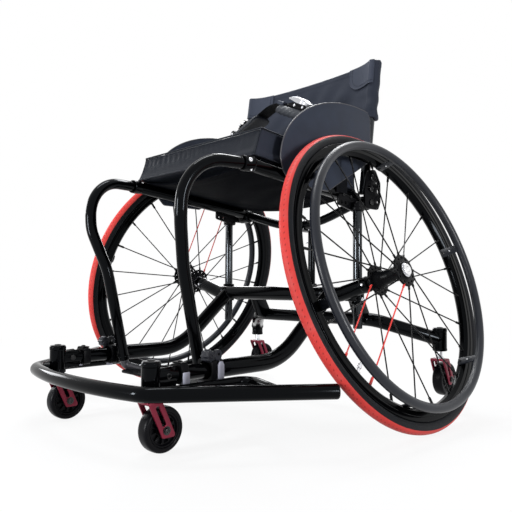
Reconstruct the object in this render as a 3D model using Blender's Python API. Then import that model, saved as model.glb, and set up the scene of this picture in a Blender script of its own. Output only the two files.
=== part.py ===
"""Basketball wheelchair: cambered drive wheels, a bowed front bumper and four swivelling casters.

Metres, +Z up. The chair faces -Y and its own left side is +X. Every size below is measured from the
floor (z), from the middle plane (x) and from the line of the drive wheel axles (y), and the empty
chair_datum then carries that line to its place, so that the chair is centred over the origin.
"""

import math

import bmesh
import bpy
from mathutils import Matrix, Vector

# Gaps between pieces, and how far joined shapes sink in and cutting tools run past
TOUCH_GAP = 0.0003
RUNNING_GAP = 0.00015
SINK = 0.001
OVERRUN = 0.01

# Sides of the round tubes and bores
TUBE_SIDES = 12
CAMBER_TUBE_SIDES = 14
BACK_POST_SIDES = 14
BORE_SIDES = 16
SMALL_HOLE_SIDES = 8

# Drive wheels
WHEEL_RADIUS = 0.305
TYRE_RADIUS = 0.0122
CAMBER = math.radians(17.63)
TYRE_GUARD_GAP = 0.00712
WHEEL_SEGMENTS = 48
HUB_SEGMENTS = 20
RIM_SEAT_DEPTH = 0.0093
RIM_DEPTH = 0.025
RIM_WIDTH = 0.021
RIM_CROWN_WIDTH = 0.009
SPOKE_COUNT = 24
SPOKE_RADIUS = 0.0016
SPOKE_SIDES = 5
SPOKE_HEAD_INSET = 0.003
SPOKE_END_OFFSET = 0.002
SPOKE_LEAN = math.radians(16)
SPOKE_PHASE = math.radians(5)
NIPPLE_RADIUS = 0.0026
NIPPLE_LENGTH = 0.014
FLANGE_RADIUS = 0.032
FLANGE_THICKNESS = 0.004
FLANGE_OFFSET = 0.031
FLANGE_TAPER = 0.008
BARREL_RADIUS = 0.0175
BARREL_WAIST = 0.003
BEARING_RADIUS = 0.0143
BEARING_WIDTH = 0.008
BEARING_SPACER_RADIUS = 0.0085
HUB_END = 0.0365
AXLE_RADIUS = 0.00635
AXLE_REACH = 0.105
AXLE_HEAD_RADIUS = 0.014
AXLE_HEAD_DEPTH = 0.004
BUTTON_RADIUS = 0.005
BUTTON_DEPTH = 0.008
BUTTON_PROUD = 0.004
BUTTON_CHAMFER = 0.001
HANDRIM_RISE = 0.005
HANDRIM_TUBE_RADIUS = 0.0087
HANDRIM_OFFSET = 0.038
TAB_COUNT = 6
TAB_PHASE = math.radians(-47)
TAB_WIDTH = 0.020
TAB_THICKNESS = 0.003
TAB_FOOT = 0.004
RIGHT_WHEEL_TURN = math.radians(143)

# Camber tube and what it carries
CAMBER_TUBE_RADIUS = 0.016
CAMBER_TUBE_DROP = 0.0392
CAMBER_TUBE_BEND = 0.06
RECEIVER_RADIUS = 0.0125
RECEIVER_LENGTH = 0.016
RECEIVER_CLEARANCE = 0.0008
RECEIVER_OVERLAP = 0.002
AXLE_END_ROOM = 0.002
POST_X = 0.207
POST_Y = 0.044
POST_RADIUS = 0.010
POST_BOTTOM = 0.178
POST_TOP = 0.446
SLEEVE_RADIUS = 0.014
SLEEVE_HEIGHT = 0.044
WEB_HALF_WIDTH = 0.009
WEB_INSET = 0.008

# Lower side tubes, sliders and front caster barrels
SIDE_X = 0.162
SIDE_Z = 0.123
SIDE_RADIUS = 0.016
SIDE_KNEE_Y = -0.154
SIDE_BEND = 0.15
SIDE_FRONT_Y = -0.335
SLIDER_RADIUS = 0.013
SLIDER_INSERT = 0.055
SLIDER_ROOM = 0.004
FRONT_BARREL_Y = -0.460
BARREL_OUTER_RADIUS = 0.0155
FRONT_BARREL_LOW = 0.094
FRONT_BARREL_HIGH = 0.147
STEM_RADIUS = 0.006
STEM_ROOF = 0.008
STEM_END_GAP = 0.002
EAR_LENGTH = 0.044
EAR_WIDTH = 0.020
EAR_HEIGHT = 0.036
EAR_HOLE_PLACE = 0.02728
EAR_HOLE_RADIUS = 0.004
LUG_LENGTH = 0.035
LUG_RADIUS = 0.007
LUG_RISE = 0.002

# Clamps on the side tubes and sliders
CLAMP_BACK_Y = -0.321
CLAMP_WIDTH = 0.027
CLAMP_WALL = 0.0035
CLAMP_RADII = (0.008, 0.003, 0.008, 0.008)
CLAMP_PLATE_DROP = 0.028
CLAMP_PLATE_HEIGHT = 0.020
LINK_OFFSET = 0.008
LINK_WIDTH = 0.008
LINK_FRONT_INSET = 0.004
LINK_BACK_INSET = 0.006
KNOB_RADIUS = 0.0105
KNOB_LENGTH = 0.018
KNOB_OFFSET = 0.011
KNOB_AHEAD = 0.002
KNOB_Z = 0.149
STRAP_Y = -0.403
STRAP_WIDTH = 0.016
STRAP_PLATE = 0.003
STRAP_PLATE_DROP = 0.022
STRAP_PLATE_HEIGHT = 0.024

# Front loops and footplate
LOOP_RADIUS = 0.0114
LOOP_TOP_X = 0.160
LOOP_TOP_Y = -0.396
LOOP_TOP_Z = 0.492
LOOP_KNEE_X = 0.152
LOOP_KNEE_Z = 0.385
LOOP_SHIN_Z = 0.300
LOOP_SHIN_X = 0.128
LOOP_SHIN_Y = -0.370
LOOP_FOOT_X = 0.127
LOOP_FOOT_Y = -0.3275
LOOP_FOOT_Z = 0.112
LOOP_BENDS = (0.082, 0.10, 0.12)
LOOP_BOSS_RADIUS = 0.008
HANGER_RADIUS = 0.0088
HANGER_INSERT = 0.040
HANGER_ROOM = 0.003
HANGER_EXIT = 0.012
HANGER_INWARD = 0.018
HANGER_BACKWARD = 0.030
HANGER_RISE = 0.003
HANGER_BEND = 0.012
PLATE_Z = 0.087
PLATE_THICKNESS = 0.006
PLATE_FRONT_Y = -0.342
PLATE_DEPTH = 0.075
PLATE_HALF_WIDTH = 0.126
PLATE_TAPER = 0.012
PLATE_RADII = (0.012, 0.012, 0.016, 0.016)

# Bumper
WING_RADIUS = 0.0125
WING_Z = 0.1025
WING_END_INSET = 0.002
WING_TYRE_GAP = 0.015
WING_CORNER_X = 0.192
WING_CORNER_Y = -0.492
WING_CORNER_BEND = 0.05
WING_BOW = 0.026
BRACE_RADIUS = 0.0095
BRACE_X = 0.199
BRACE_FRONT_INSET = 0.020
BRACE_BACK_Y = -0.276
BRACE_BEND = 0.022
BRACE_WING_X = 0.318

# Seat
RAIL_X = 0.184
RAIL_RADIUS = 0.0125
RAIL_FRONT_Y = -0.262
RAIL_FRONT_Z = 0.4942
RAIL_BACK_Z = 0.463
SOCKET_RADIUS = 0.0147
SOCKET_LENGTH = 0.024
SOCKET_DEPTH = 0.017
POST_PLATE_THICKNESS = 0.006
POST_PLATE_SINK = 0.003
POST_PLATE_FRONT_Y = -0.012
POST_PLATE_FRONT_Z = 0.444
POST_PLATE_LOW_Z = 0.430
POST_PLATE_DROP = 0.003
POST_PLATE_MARGIN = 0.012
POST_PLATE_RADII = (0.006, 0.006, 0.004, 0.006)
POST_PLATE_HOLES = (0.010, 0.024)
POST_PLATE_HOLE_RISE = 0.005
POST_PLATE_HOLE_RADIUS = 0.003
POST_SOCKET_RISE = 0.003
POST_SOCKET_ROOF = 0.006
CROSS_TUBE_RADIUS = 0.0105
CROSS_BOSS_RADIUS = 0.016
CROSS_Y = 0.088
CROSS_Z = 0.456
CROSS_SHOULDER_X = 0.165
CROSS_BOSS_INSET = 0.004
CROSS_APEX_SHIFT = 0.0095
CROSS_APEX_Z = 0.405
CROSS_BENDS = (0.04, 0.33, 0.04)
SLING_THICKNESS = 0.0025
SLING_SAG = 0.004
SLING_WRAP = math.radians(38)
SLING_FRONT_Y = -0.243
SLING_BACK_Y = 0.074
CUSHION_HALF_WIDTH = 0.191
CUSHION_THICKNESS = 0.060
CUSHION_CROWN = 0.005
CUSHION_FRONT_Y = -0.256
CUSHION_BACK_Y = 0.064
CUSHION_EDGE = 0.009
CUSHION_SLANT = 0.013
CUSHION_CROWN_POWER = 2.5
CUSHION_TOP_INSET = 0.012
CUSHION_SIDE_HEIGHTS = (0, 0.08, 0.35, 0.65, 0.90, 0.98)
CUSHION_SIDE_DRAWS = (0.005, 0.001, 0, 0.002, 0.004, 0.007)

# Strut between the cross tube and the rear bar
STRUT_Y = 0.140
STRUT_RADIUS = 0.009
STRUT_SLEEVE_RADIUS = 0.0125
STRUT_SLEEVE_TOP = 0.276
STRUT_INSERT = 0.030
STRUT_ROOM = 0.004
STRUT_CLAMP_WIDTH = 0.034
STRUT_CLAMP_BACK = 0.002
STRUT_CLAMP_RISE = 0.008
STRUT_CLAMP_RADII = (0.006, 0.004, 0.008, 0.003)
STRUT_PIN_DROP = 0.040
STRUT_PIN_RADIUS = 0.002
STRUT_PIN_LEFT = 0.020
STRUT_PIN_RIGHT = 0.018

# Rear bar
REAR_BAR_RADIUS = 0.0155
REAR_BAR_Z = 0.193
REAR_BAR_BEND_X = 0.185
REAR_BARREL_X = 0.294
REAR_BARREL_Y = 0.242
REAR_BARREL_LOW = 0.123
REAR_BARREL_HIGH = 0.174
REAR_BAR_BEND = 0.06
BRACKET_X = 0.160
BRACKET_WIDTH = 0.022
BRACKET_DROP = 0.014
BRACKET_RISE = 0.012
BRACKET_LOW_RUN = 0.052
BRACKET_HEEL_RUN = 0.026
BRACKET_HIGH_RUN = 0.030
BRACKET_HEEL_DROP = 0.008
BRACKET_TOE_RISE = 0.010
BRACKET_LOW_BEND = 0.02
BRACKET_HIGH_BEND = 0.03

# Casters
CASTER_RADIUS = 0.038
CASTER_WIDTH = 0.024
CASTER_TRAIL = 0.020
CASTER_CORE_RADIUS = 0.026
CASTER_CORE_DISH = 0.005
CASTER_BOSS_RADIUS = 0.010
CASTER_BOSS_DRAFT = 0.001
CASTER_CORE_LIP = 0.002
CASTER_LIP_INSET = 0.001
CASTER_SHOULDER = 0.004
CASTER_SHOULDER_INSET = 0.002
CASTER_TREAD_INSET = 0.008
CASTER_SEGMENTS = 22
REAR_CASTER_LIFT = 0.020
FORK_TOP = 0.086
FORK_CROWN = 0.005
FORK_LEG = 0.0035
FORK_SIDE_GAP = 0.0015
FORK_WIDTH = 0.027
FORK_SWEEP = 0.028
FORK_BOTTOM = 0.026
FORK_TOP_SHIFT = -0.0025
FORK_RADII = (0.003, 0.003, 0.002, 0.002)
FORK_SLOT_HALF_WIDTH = 0.003
FORK_SLOT_TOP = 0.011
FORK_SLOT_BOTTOM = 0.037
SHOULDER_RISE = 0.004
SHOULDER_FLANGE = 0.003
STEM_SINK = 0.002
CASTER_AXLE_RADIUS = 0.004
CASTER_HEAD_RADIUS = 0.0065
CASTER_HEAD_DEPTH = 0.0035

# Backrest
BACK_POST_X = 0.1945
BACK_POST_RADIUS = 0.011
HINGE_Y = 0.091
HINGE_Z = 0.512
BACK_LEAN = math.radians(8.4)
BACK_POST_DROP = 0.0365
BACK_POST_RISE = 0.276
STUD_DROP = 0.026
STUD_RADIUS = 0.004
STUD_HEAD_RADIUS = 0.007
STUD_HEAD_DEPTH = 0.0035
RECLINE = math.radians(12)
RECLINE_MARGIN = math.radians(3)
BACK_PLATE_X = 0.2075
BACK_PLATE_THICKNESS = 0.005
BACK_PLATE_HOLE_RADIUS = 0.003
BACK_PLATE_BOLT_RADIUS = 0.0065
BACK_PLATE_BOLT_DEPTH = 0.004
HOLSTER_LOW = 0.140
HOLSTER_TOP = 0.2805
HOLSTER_RADIUS = 0.0185
HOLSTER_SAG = 0.012
HOLSTER_THICKNESS = 0.008
HOLSTER_BAND_INSET = 0.006
HOLSTER_HEM = 0.003
HOLSTER_HEM_SHARE = 0.3
HOLSTER_POWER = 6

# Side guards
GUARD_X = 0.206
GUARD_THICKNESS = 0.002
GUARD_CENTRE_Y = 0.036
GUARD_CENTRE_Z = 0.510
GUARD_REACH = 0.240
GUARD_RISE = 0.150
GUARD_LOW_Z = 0.465
GUARD_BACK_Y = 0.092
GUARD_BACK_INSET = 0.010
GUARD_BACK_RISE = 0.040
GUARD_BACK_DROP = 0.012
GUARD_NOSE_INSET = 0.008
GUARD_NOSE_DROP = 0.022
GUARD_CHIN_INSET = 0.032
GUARD_FLAT_END_Y = -0.060
GUARD_STEPS = 16
GUARD_STUD_PROUD = 0.002
GUARD_STUD_RADIUS = 0.006
GUARD_STUDS_Y = (-0.150, -0.085)

# Lap belt
BELT_X = 0.1979
BELT_THICKNESS = 0.0022
BELT_WIDTH = 0.038
BELT_LOW_Z = 0.469
BELT_SHOULDER_Z = 0.620
BELT_CREST_X = 0.015
BELT_CREST_Z = 0.705
BELT_SHOULDER_BEND = 0.03
BELT_CREST_BEND = 0.08
BUCKLE_START = 0.095
BUCKLE_LENGTH = 0.068
BUCKLE_HEIGHT = 0.012
BUCKLE_MARGIN = 0.004
BUCKLE_BASE_THICKNESS = 0.006
BUCKLE_RAISE = 0.001
BUCKLE_OVERLAP = 0.010
CHEEK_INSET = 0.005
CHEEK_THICKNESS = 0.004
CHEEK_START = 0.008
CHEEK_END = 0.046
LEVER_LENGTH = 0.062
LEVER_THICKNESS = 0.003
LEVER_PLACE = 0.014
LEVER_DROP = 0.003
LEVER_SHARES = (0, 0.2, 0.5, 0.8, 1)
LEVER_LIFTS = (0, 0.004, 0.007, 0.0055, 0.003)
LEVER_PIN_RADIUS = 0.0022
FITTING_PLACE = 0.105
FITTING_LENGTH = 0.028
FITTING_MARGIN = 0.006
FITTING_THICKNESS = 0.010

# Worked out from the sizes above
TYRE_RING_RADIUS = WHEEL_RADIUS - TYRE_RADIUS
HUB_Z = TYRE_RING_RADIUS * math.cos(CAMBER) + TYRE_RADIUS
TYRE_TOP_X = GUARD_X + GUARD_THICKNESS + TYRE_GUARD_GAP
HUB_X = TYRE_TOP_X + TYRE_RADIUS + TYRE_RING_RADIUS * math.sin(CAMBER)
RIM_SEAT_RADIUS = TYRE_RING_RADIUS - RIM_SEAT_DEPTH
RIM_INNER_RADIUS = RIM_SEAT_RADIUS - RIM_DEPTH
HANDRIM_RADIUS = RIM_INNER_RADIUS + HANDRIM_RISE
CAMBER_TUBE_Z = HUB_Z - CAMBER_TUBE_DROP
WING_BELOW_HUB = (HUB_Z - WING_Z) / math.cos(CAMBER)
WING_END_X = HUB_X + WING_BELOW_HUB * math.sin(CAMBER) - WING_END_INSET
WING_END_Y = -math.sqrt(WHEEL_RADIUS ** 2 - WING_BELOW_HUB ** 2) - WING_TYRE_GAP
BEND_X = HUB_X - (HUB_Z - CAMBER_TUBE_Z) / math.tan(CAMBER)
RAIL_BACK_Y = CROSS_Y - CROSS_BOSS_RADIUS - TOUCH_GAP
FRONT_REACH = -(WING_CORNER_Y - WING_BOW - WING_RADIUS)
BACK_REACH = REAR_BARREL_Y + CASTER_TRAIL + CASTER_RADIUS
DATUM_Y = (FRONT_REACH - BACK_REACH) / 2


def clear_scene():
    for old in list(bpy.data.objects):
        bpy.data.objects.remove(old, do_unlink=True)


def finish(name, red, green, blue, roughness, metallic=0.0):
    """A Principled material of the given colour."""
    made = bpy.data.materials.get(name) or bpy.data.materials.new(name)
    made.use_nodes = True
    shader = made.node_tree.nodes["Principled BSDF"]
    shader.inputs["Base Color"].default_value = (red, green, blue, 1)
    shader.inputs["Roughness"].default_value = roughness
    shader.inputs["Metallic"].default_value = metallic
    return made


def gloss_black():
    return finish("gloss_black_paint", 0.012, 0.012, 0.014, 0.18)


def satin_black():
    return finish("satin_black_metal", 0.02, 0.02, 0.024, 0.42, 0.4)


def crimson():
    return finish("crimson_anodised", 0.30, 0.02, 0.06, 0.35, 0.7)


def bright_steel():
    return finish("bright_steel", 0.62, 0.62, 0.64, 0.25, 1.0)


def red_rubber():
    return finish("red_tyre_rubber", 0.75, 0.05, 0.04, 0.6)


def black_rubber():
    return finish("black_rubber", 0.02, 0.02, 0.022, 0.55)


def grey_tube():
    return finish("grey_tube_metal", 0.16, 0.16, 0.18, 0.4, 0.6)


def black_fabric():
    return finish("black_fabric", 0.016, 0.016, 0.02, 0.7)


def add_object(name, mesh, material):
    """An object of the mesh, shaded smooth except at its sharp edges."""
    mesh.materials.clear()
    mesh.materials.append(material)
    mesh.shade_smooth()
    mesh.set_sharp_from_angle(angle=math.radians(38))
    made = bpy.data.objects.new(name, mesh)
    bpy.context.scene.collection.objects.link(made)
    return made


def mesh_of(points, faces):
    """A closed mesh with its faces pointing out."""
    shape = bmesh.new()
    corners = [shape.verts.new(point) for point in points]
    for face in faces:
        shape.faces.new([corners[i] for i in face])
    bmesh.ops.remove_doubles(shape, verts=shape.verts, dist=1e-6)
    bmesh.ops.recalc_face_normals(shape, faces=shape.faces)
    mesh = bpy.data.meshes.new("shape")
    shape.to_mesh(mesh)
    shape.free()
    return mesh


def bridged(rings, closed=False):
    """A skin over rings of as many points each, with a cap on each end unless it closes on itself."""
    count = len(rings[0])
    points = [point for ring in rings for point in ring]
    faces = []
    for i in range(len(rings) if closed else len(rings) - 1):
        here = i * count
        there = (i + 1) % len(rings) * count
        for j in range(count):
            k = (j + 1) % count
            faces.append((here + j, here + k, there + k, there + j))
    if not closed:
        faces.append(tuple(range(count)))
        faces.append(tuple(range(len(points) - count, len(points))))
    return mesh_of(points, faces)


def bent_route(corners, bends, step=math.radians(12)):
    """The centreline of a bent tube: straight runs, joined at each corner by an arc of its bend radius."""
    corners = [Vector(corner) for corner in corners]
    route = [corners[0]]
    for before, corner, after, bend in zip(corners, corners[1:], corners[2:], bends):
        back = (before - corner).normalized()
        ahead = (after - corner).normalized()
        turn = math.pi - back.angle(ahead)
        centre = corner + (back + ahead).normalized() * bend / math.cos(turn / 2)
        start = corner + back * bend * math.tan(turn / 2) - centre
        axis = back.cross(start)
        steps = max(2, math.ceil(turn / step))
        for i in range(steps + 1):
            route.append(centre + Matrix.Rotation(turn * i / steps, 3, axis) @ start)
    route.append(corners[-1])
    return route


def swept(route, section, side=None):
    """A section of (across, up) points carried along a route without twist."""
    route = [Vector(point) for point in route]
    runs = [(b - a).normalized() for a, b in zip(route, route[1:])]
    ahead = [runs[0]] + [(a + b).normalized() for a, b in zip(runs, runs[1:])] + [runs[-1]]
    across = Vector(side) if side else runs[0].orthogonal()
    rings = []
    for i, (point, along) in enumerate(zip(route, ahead)):
        if i:
            across = ahead[i - 1].rotation_difference(along) @ across
        across = (across - along * across.dot(along)).normalized()
        up = along.cross(across)
        stretch = 1.0
        if 0 < i < len(route) - 1:
            stretch = 1 / max(0.5, along.dot(runs[i]))
        fold = runs[min(i, len(runs) - 1)] - runs[max(i - 1, 0)]
        ring = []
        for u, v in section:
            offset = across * u + up * v
            if fold.length > 1e-6:
                bend = fold.normalized()
                offset += bend * offset.dot(bend) * (stretch - 1)
            ring.append(point + offset)
        rings.append(ring)
    return bridged(rings)


def circle(radius, sides=TUBE_SIDES):
    return [
        (radius * math.cos(2 * math.pi * i / sides), radius * math.sin(2 * math.pi * i / sides))
        for i in range(sides)
    ]


def oblong(width, height):
    """A rectangle of the given width and height."""
    u = width / 2
    v = height / 2
    return [(-u, -v), (u, -v), (u, v), (-u, v)]


def tube(name, route, radius, material, sides=TUBE_SIDES):
    return add_object(name, swept(route, circle(radius, sides)), material)


def rod(start, end, radius, sides=TUBE_SIDES):
    """A plain round bar, as a tool for joining or cutting."""
    return tube("tool", (start, end), radius, satin_black(), sides)


def block(low, high):
    """A rectangular block between two corners, as a tool for joining or cutting."""
    rings = [
        [(x, y, z) for x, y in ((low[0], low[1]), (high[0], low[1]), (high[0], high[1]), (low[0], high[1]))]
        for z in (low[2], high[2])
    ]
    return add_object("tool", bridged(rings), satin_black())


def rounded(corners, radii, steps=4):
    """A closed outline of straight sides, with an arc at each corner."""
    count = len(corners)
    outline = []
    for i, (corner, radius) in enumerate(zip(corners, radii)):
        here = Vector((corner[0], corner[1], 0))
        before = corners[i - 1]
        after = corners[(i + 1) % count]
        back = (Vector((before[0], before[1], 0)) - here).normalized()
        ahead = (Vector((after[0], after[1], 0)) - here).normalized()
        if radius == 0:
            outline.append((here.x, here.y))
            continue
        turn = math.pi - back.angle(ahead)
        centre = here + (back + ahead).normalized() * radius / math.cos(turn / 2)
        start = here + back * radius * math.tan(turn / 2) - centre
        axis = back.cross(start)
        for j in range(steps + 1):
            point = centre + Matrix.Rotation(turn * j / steps, 3, axis) @ start
            outline.append((point.x, point.y))
    return outline


def extruded(outline, axis, low, high):
    """A plate: an outline in the plane across X, Y or Z, carried from low to high along that axis."""
    place = {
        "X": lambda u, v, w: (w, u, v),
        "Y": lambda u, v, w: (u, w, v),
        "Z": lambda u, v, w: (u, v, w),
    }[axis]
    return bridged([[place(u, v, w) for u, v in outline] for w in (low, high)])


def turned(profile, segments):
    """A closed profile of (radius, height) points, turned about Z."""
    shape = bmesh.new()
    corners = [shape.verts.new((radius, 0, height)) for radius, height in profile]
    edges = []
    for i, corner in enumerate(corners):
        after = corners[(i + 1) % len(corners)]
        if corner.co.x > 1e-9 or after.co.x > 1e-9:
            edges.append(shape.edges.new((corner, after)))
    bmesh.ops.spin(
        shape,
        geom=corners + edges,
        cent=(0, 0, 0),
        axis=(0, 0, 1),
        dvec=(0, 0, 0),
        angle=2 * math.pi,
        steps=segments,
        use_merge=True,
        use_duplicate=False,
    )
    bmesh.ops.remove_doubles(shape, verts=shape.verts, dist=1e-6)
    bmesh.ops.recalc_face_normals(shape, faces=shape.faces)
    mesh = bpy.data.meshes.new("turned")
    shape.to_mesh(mesh)
    shape.free()
    return mesh


def combine(base, others, operation="UNION"):
    """Joins the other objects to the base, or cuts them from it, and removes them."""
    material = base.data.materials[0]
    for other in others:
        modifier = base.modifiers.new(operation, "BOOLEAN")
        modifier.object = other
        modifier.operation = operation
        modifier.solver = "EXACT"
    bpy.context.view_layer.update()
    graph = bpy.context.evaluated_depsgraph_get()
    mesh = bpy.data.meshes.new_from_object(base.evaluated_get(graph))
    base.modifiers.clear()
    base.data = mesh
    mesh.materials.clear()
    mesh.materials.append(material)
    mesh.polygons.foreach_set("material_index", [0] * len(mesh.polygons))
    mesh.set_sharp_from_angle(angle=math.radians(38))
    for other in others:
        bpy.data.objects.remove(other)
    return base


def cut(base, others):
    return combine(base, others, "DIFFERENCE")


def mirrored_mesh(mesh, axis):
    """The mesh's mirror image along one axis, with its faces still pointing out."""
    shape = bmesh.new()
    shape.from_mesh(mesh)
    for corner in shape.verts:
        corner.co[axis] = -corner.co[axis]
    bmesh.ops.reverse_faces(shape, faces=shape.faces)
    image = bpy.data.meshes.new("mirrored")
    shape.to_mesh(image)
    shape.free()
    return image


def pair(build, stem):
    """The left piece, and its mirror image on the right."""
    left = build()
    left.name = stem + "_left"
    right = add_object(stem + "_right", mirrored_mesh(left.data, 0), left.data.materials[0])
    return [left, right]


def pivot(name, parent, location, rotation=None):
    """An empty on a joint's axis."""
    made = bpy.data.objects.new(name, None)
    made.empty_display_size = 0.03
    made.parent = parent
    made.location = location
    if rotation:
        made.rotation_euler = rotation
    bpy.context.scene.collection.objects.link(made)
    return made


def hold(parent, pieces):
    for piece in pieces:
        piece.parent = parent


def mirror_points(half):
    """A route over the middle plane, from its left half given outside end first."""
    return list(half) + [(-x, y, z) for x, y, z in reversed(half) if x > 1e-9]


def rail_z(y):
    """Height of the seat rail's centreline, which falls to the rear."""
    share = (y - RAIL_FRONT_Y) / (RAIL_BACK_Y - RAIL_FRONT_Y)
    return RAIL_FRONT_Z + (RAIL_BACK_Z - RAIL_FRONT_Z) * share


def axle_point(along):
    """A point on the left wheel's axle line, measured outwards from the wheel's middle."""
    return (HUB_X + along * math.cos(CAMBER), 0, HUB_Z + along * math.sin(CAMBER))


# Drive wheels, built about Z with +Z pointing outwards along the axle and +X to the chair's front


def build_tyre():
    base = RIM_SEAT_RADIUS + TOUCH_GAP - TYRE_RING_RADIUS
    start = math.asin(base / TYRE_RADIUS)
    sweep = math.pi - 2 * start
    profile = []
    for i in range(8):
        angle = start + sweep * i / 7
        profile.append((TYRE_RING_RADIUS + TYRE_RADIUS * math.sin(angle), TYRE_RADIUS * math.cos(angle)))
    return add_object("tyre", turned(profile, WHEEL_SEGMENTS), red_rubber())


def build_rim():
    inner = RIM_INNER_RADIUS
    shoulder = inner + (RIM_WIDTH - RIM_CROWN_WIDTH) / 2
    profile = [
        (inner, -RIM_CROWN_WIDTH / 2),
        (shoulder, -RIM_WIDTH / 2),
        (RIM_SEAT_RADIUS, -RIM_WIDTH / 2),
        (RIM_SEAT_RADIUS, RIM_WIDTH / 2),
        (shoulder, RIM_WIDTH / 2),
        (inner, RIM_CROWN_WIDTH / 2),
    ]
    return add_object("rim", turned(profile, WHEEL_SEGMENTS), gloss_black())


def build_pushrim():
    profile = [(HANDRIM_RADIUS + u, HANDRIM_OFFSET + v) for u, v in circle(HANDRIM_TUBE_RADIUS, 8)]
    ring = add_object("pushrim", turned(profile, WHEEL_SEGMENTS), satin_black())
    top = RIM_INNER_RADIUS * math.cos(math.pi / WHEEL_SEGMENTS) - TOUCH_GAP
    low = top - TAB_THICKNESS
    reach = HANDRIM_OFFSET - SINK
    outline = [(low, -TAB_FOOT), (top, -TAB_FOOT), (top, reach), (low, reach)]
    tabs = []
    for i in range(TAB_COUNT):
        tab = add_object("tab", extruded(outline, "Y", -TAB_WIDTH / 2, TAB_WIDTH / 2), satin_black())
        tab.data.transform(Matrix.Rotation(TAB_PHASE + 2 * math.pi * i / TAB_COUNT, 4, "Z"))
        tabs.append(tab)
    return combine(ring, tabs)


def build_spoke(index):
    """One spoke with its nipple: alternate spokes start from the outer and inner flange."""
    side = 1 if index % 2 else -1
    rim_angle = SPOKE_PHASE + 2 * math.pi * index / SPOKE_COUNT
    hub_angle = rim_angle + side * SPOKE_LEAN
    rim_radius = RIM_INNER_RADIUS * math.cos(math.pi / WHEEL_SEGMENTS) - TOUCH_GAP
    hub_radius = FLANGE_RADIUS - SPOKE_HEAD_INSET
    hub_ray = Vector((math.cos(hub_angle), math.sin(hub_angle), 0))
    rim_ray = Vector((math.cos(rim_angle), math.sin(rim_angle), 0))
    start = hub_ray * hub_radius + Vector((0, 0, side * FLANGE_OFFSET))
    end = rim_ray * rim_radius + Vector((0, 0, side * SPOKE_END_OFFSET))
    along = (end - start).normalized()
    across = along.orthogonal().normalized()
    up = along.cross(across)
    collar = end - along * NIPPLE_LENGTH
    points = (start, collar, collar, end)
    radii = (SPOKE_RADIUS, SPOKE_RADIUS, NIPPLE_RADIUS, NIPPLE_RADIUS)
    rings = []
    for point, radius in zip(points, radii):
        rings.append([point + across * u + up * v for u, v in circle(radius, SPOKE_SIDES)])
    return add_object("spoke", bridged(rings), satin_black())


def build_hub():
    bore = BEARING_RADIUS + TOUCH_GAP
    waist = BEARING_SPACER_RADIUS + TOUCH_GAP
    seat = HUB_END - BEARING_WIDTH
    flange_in = FLANGE_OFFSET - FLANGE_THICKNESS / 2
    flange_out = FLANGE_OFFSET + FLANGE_THICKNESS / 2
    half = [
        (BARREL_RADIUS - BARREL_WAIST, 0),
        (BARREL_RADIUS, flange_in - FLANGE_TAPER),
        (FLANGE_RADIUS, flange_in),
        (FLANGE_RADIUS, flange_out),
        (BARREL_RADIUS, flange_out),
        (BARREL_RADIUS, HUB_END),
        (bore, HUB_END),
        (bore, seat - TOUCH_GAP),
        (waist, seat - TOUCH_GAP),
    ]
    profile = half + [(radius, -height) for radius, height in reversed(half[1:])]
    hub = add_object("hub", turned(profile, HUB_SEGMENTS), satin_black())
    return combine(hub, [build_spoke(i) for i in range(SPOKE_COUNT)])


def build_bearings():
    bore = AXLE_RADIUS + RUNNING_GAP
    seat = HUB_END - BEARING_WIDTH
    half = [
        (BEARING_SPACER_RADIUS, seat),
        (BEARING_RADIUS, seat),
        (BEARING_RADIUS, HUB_END),
        (bore, HUB_END),
    ]
    profile = half + [(radius, -height) for radius, height in reversed(half)]
    return add_object("hub_bearings", turned(profile, HUB_SEGMENTS), bright_steel())


def build_axle():
    head = HUB_END + RUNNING_GAP * 2
    pocket = BUTTON_RADIUS + RUNNING_GAP
    floor = head + AXLE_HEAD_DEPTH - BUTTON_DEPTH - BUTTON_PROUD
    profile = [
        (0, -AXLE_REACH),
        (AXLE_RADIUS, -AXLE_REACH),
        (AXLE_RADIUS, head),
        (AXLE_HEAD_RADIUS, head),
        (AXLE_HEAD_RADIUS, head + AXLE_HEAD_DEPTH),
        (pocket, head + AXLE_HEAD_DEPTH),
        (pocket, floor),
        (0, floor),
    ]
    return add_object("axle", turned(profile, HUB_SEGMENTS), bright_steel())


def build_button():
    face = HUB_END + RUNNING_GAP * 2 + AXLE_HEAD_DEPTH
    profile = [
        (0, face - BUTTON_DEPTH),
        (BUTTON_RADIUS, face - BUTTON_DEPTH),
        (BUTTON_RADIUS, face + BUTTON_PROUD - BUTTON_CHAMFER),
        (BUTTON_RADIUS - BUTTON_CHAMFER, face + BUTTON_PROUD),
        (0, face + BUTTON_PROUD),
    ]
    return add_object("axle_button", turned(profile, HUB_SEGMENTS), bright_steel())


def place_drive_wheels(datum):
    """Both wheels, leaning in at the top, with their axles and release buttons."""
    builders = {
        "tyre": build_tyre,
        "rim": build_rim,
        "pushrim": build_pushrim,
        "hub_with_spokes": build_hub,
        "hub_bearings": build_bearings,
        "axle": build_axle,
        "axle_button": build_button,
    }
    left = pivot("drive_wheel_left_axis", datum, (HUB_X, 0, HUB_Z))
    right = pivot("drive_wheel_right_axis", datum, (-HUB_X, 0, HUB_Z))
    outward = Vector((math.cos(CAMBER), 0, math.sin(CAMBER)))
    for empty, out in ((left, outward), (right, Vector((-outward.x, 0, outward.z)))):
        ahead = Vector((0, -1, 0))
        frame = Matrix((ahead, out.cross(ahead), out)).transposed()
        if out.x < 0:
            frame = frame @ Matrix.Rotation(RIGHT_WHEEL_TURN, 3, "Z")
        empty.rotation_euler = frame.to_euler()
    for stem, build in builders.items():
        piece = build()
        piece.name = stem + "_left"
        image = add_object(stem + "_right", mirrored_mesh(piece.data, 1), piece.data.materials[0])
        piece.parent = left
        image.parent = right


# Frame


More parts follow.
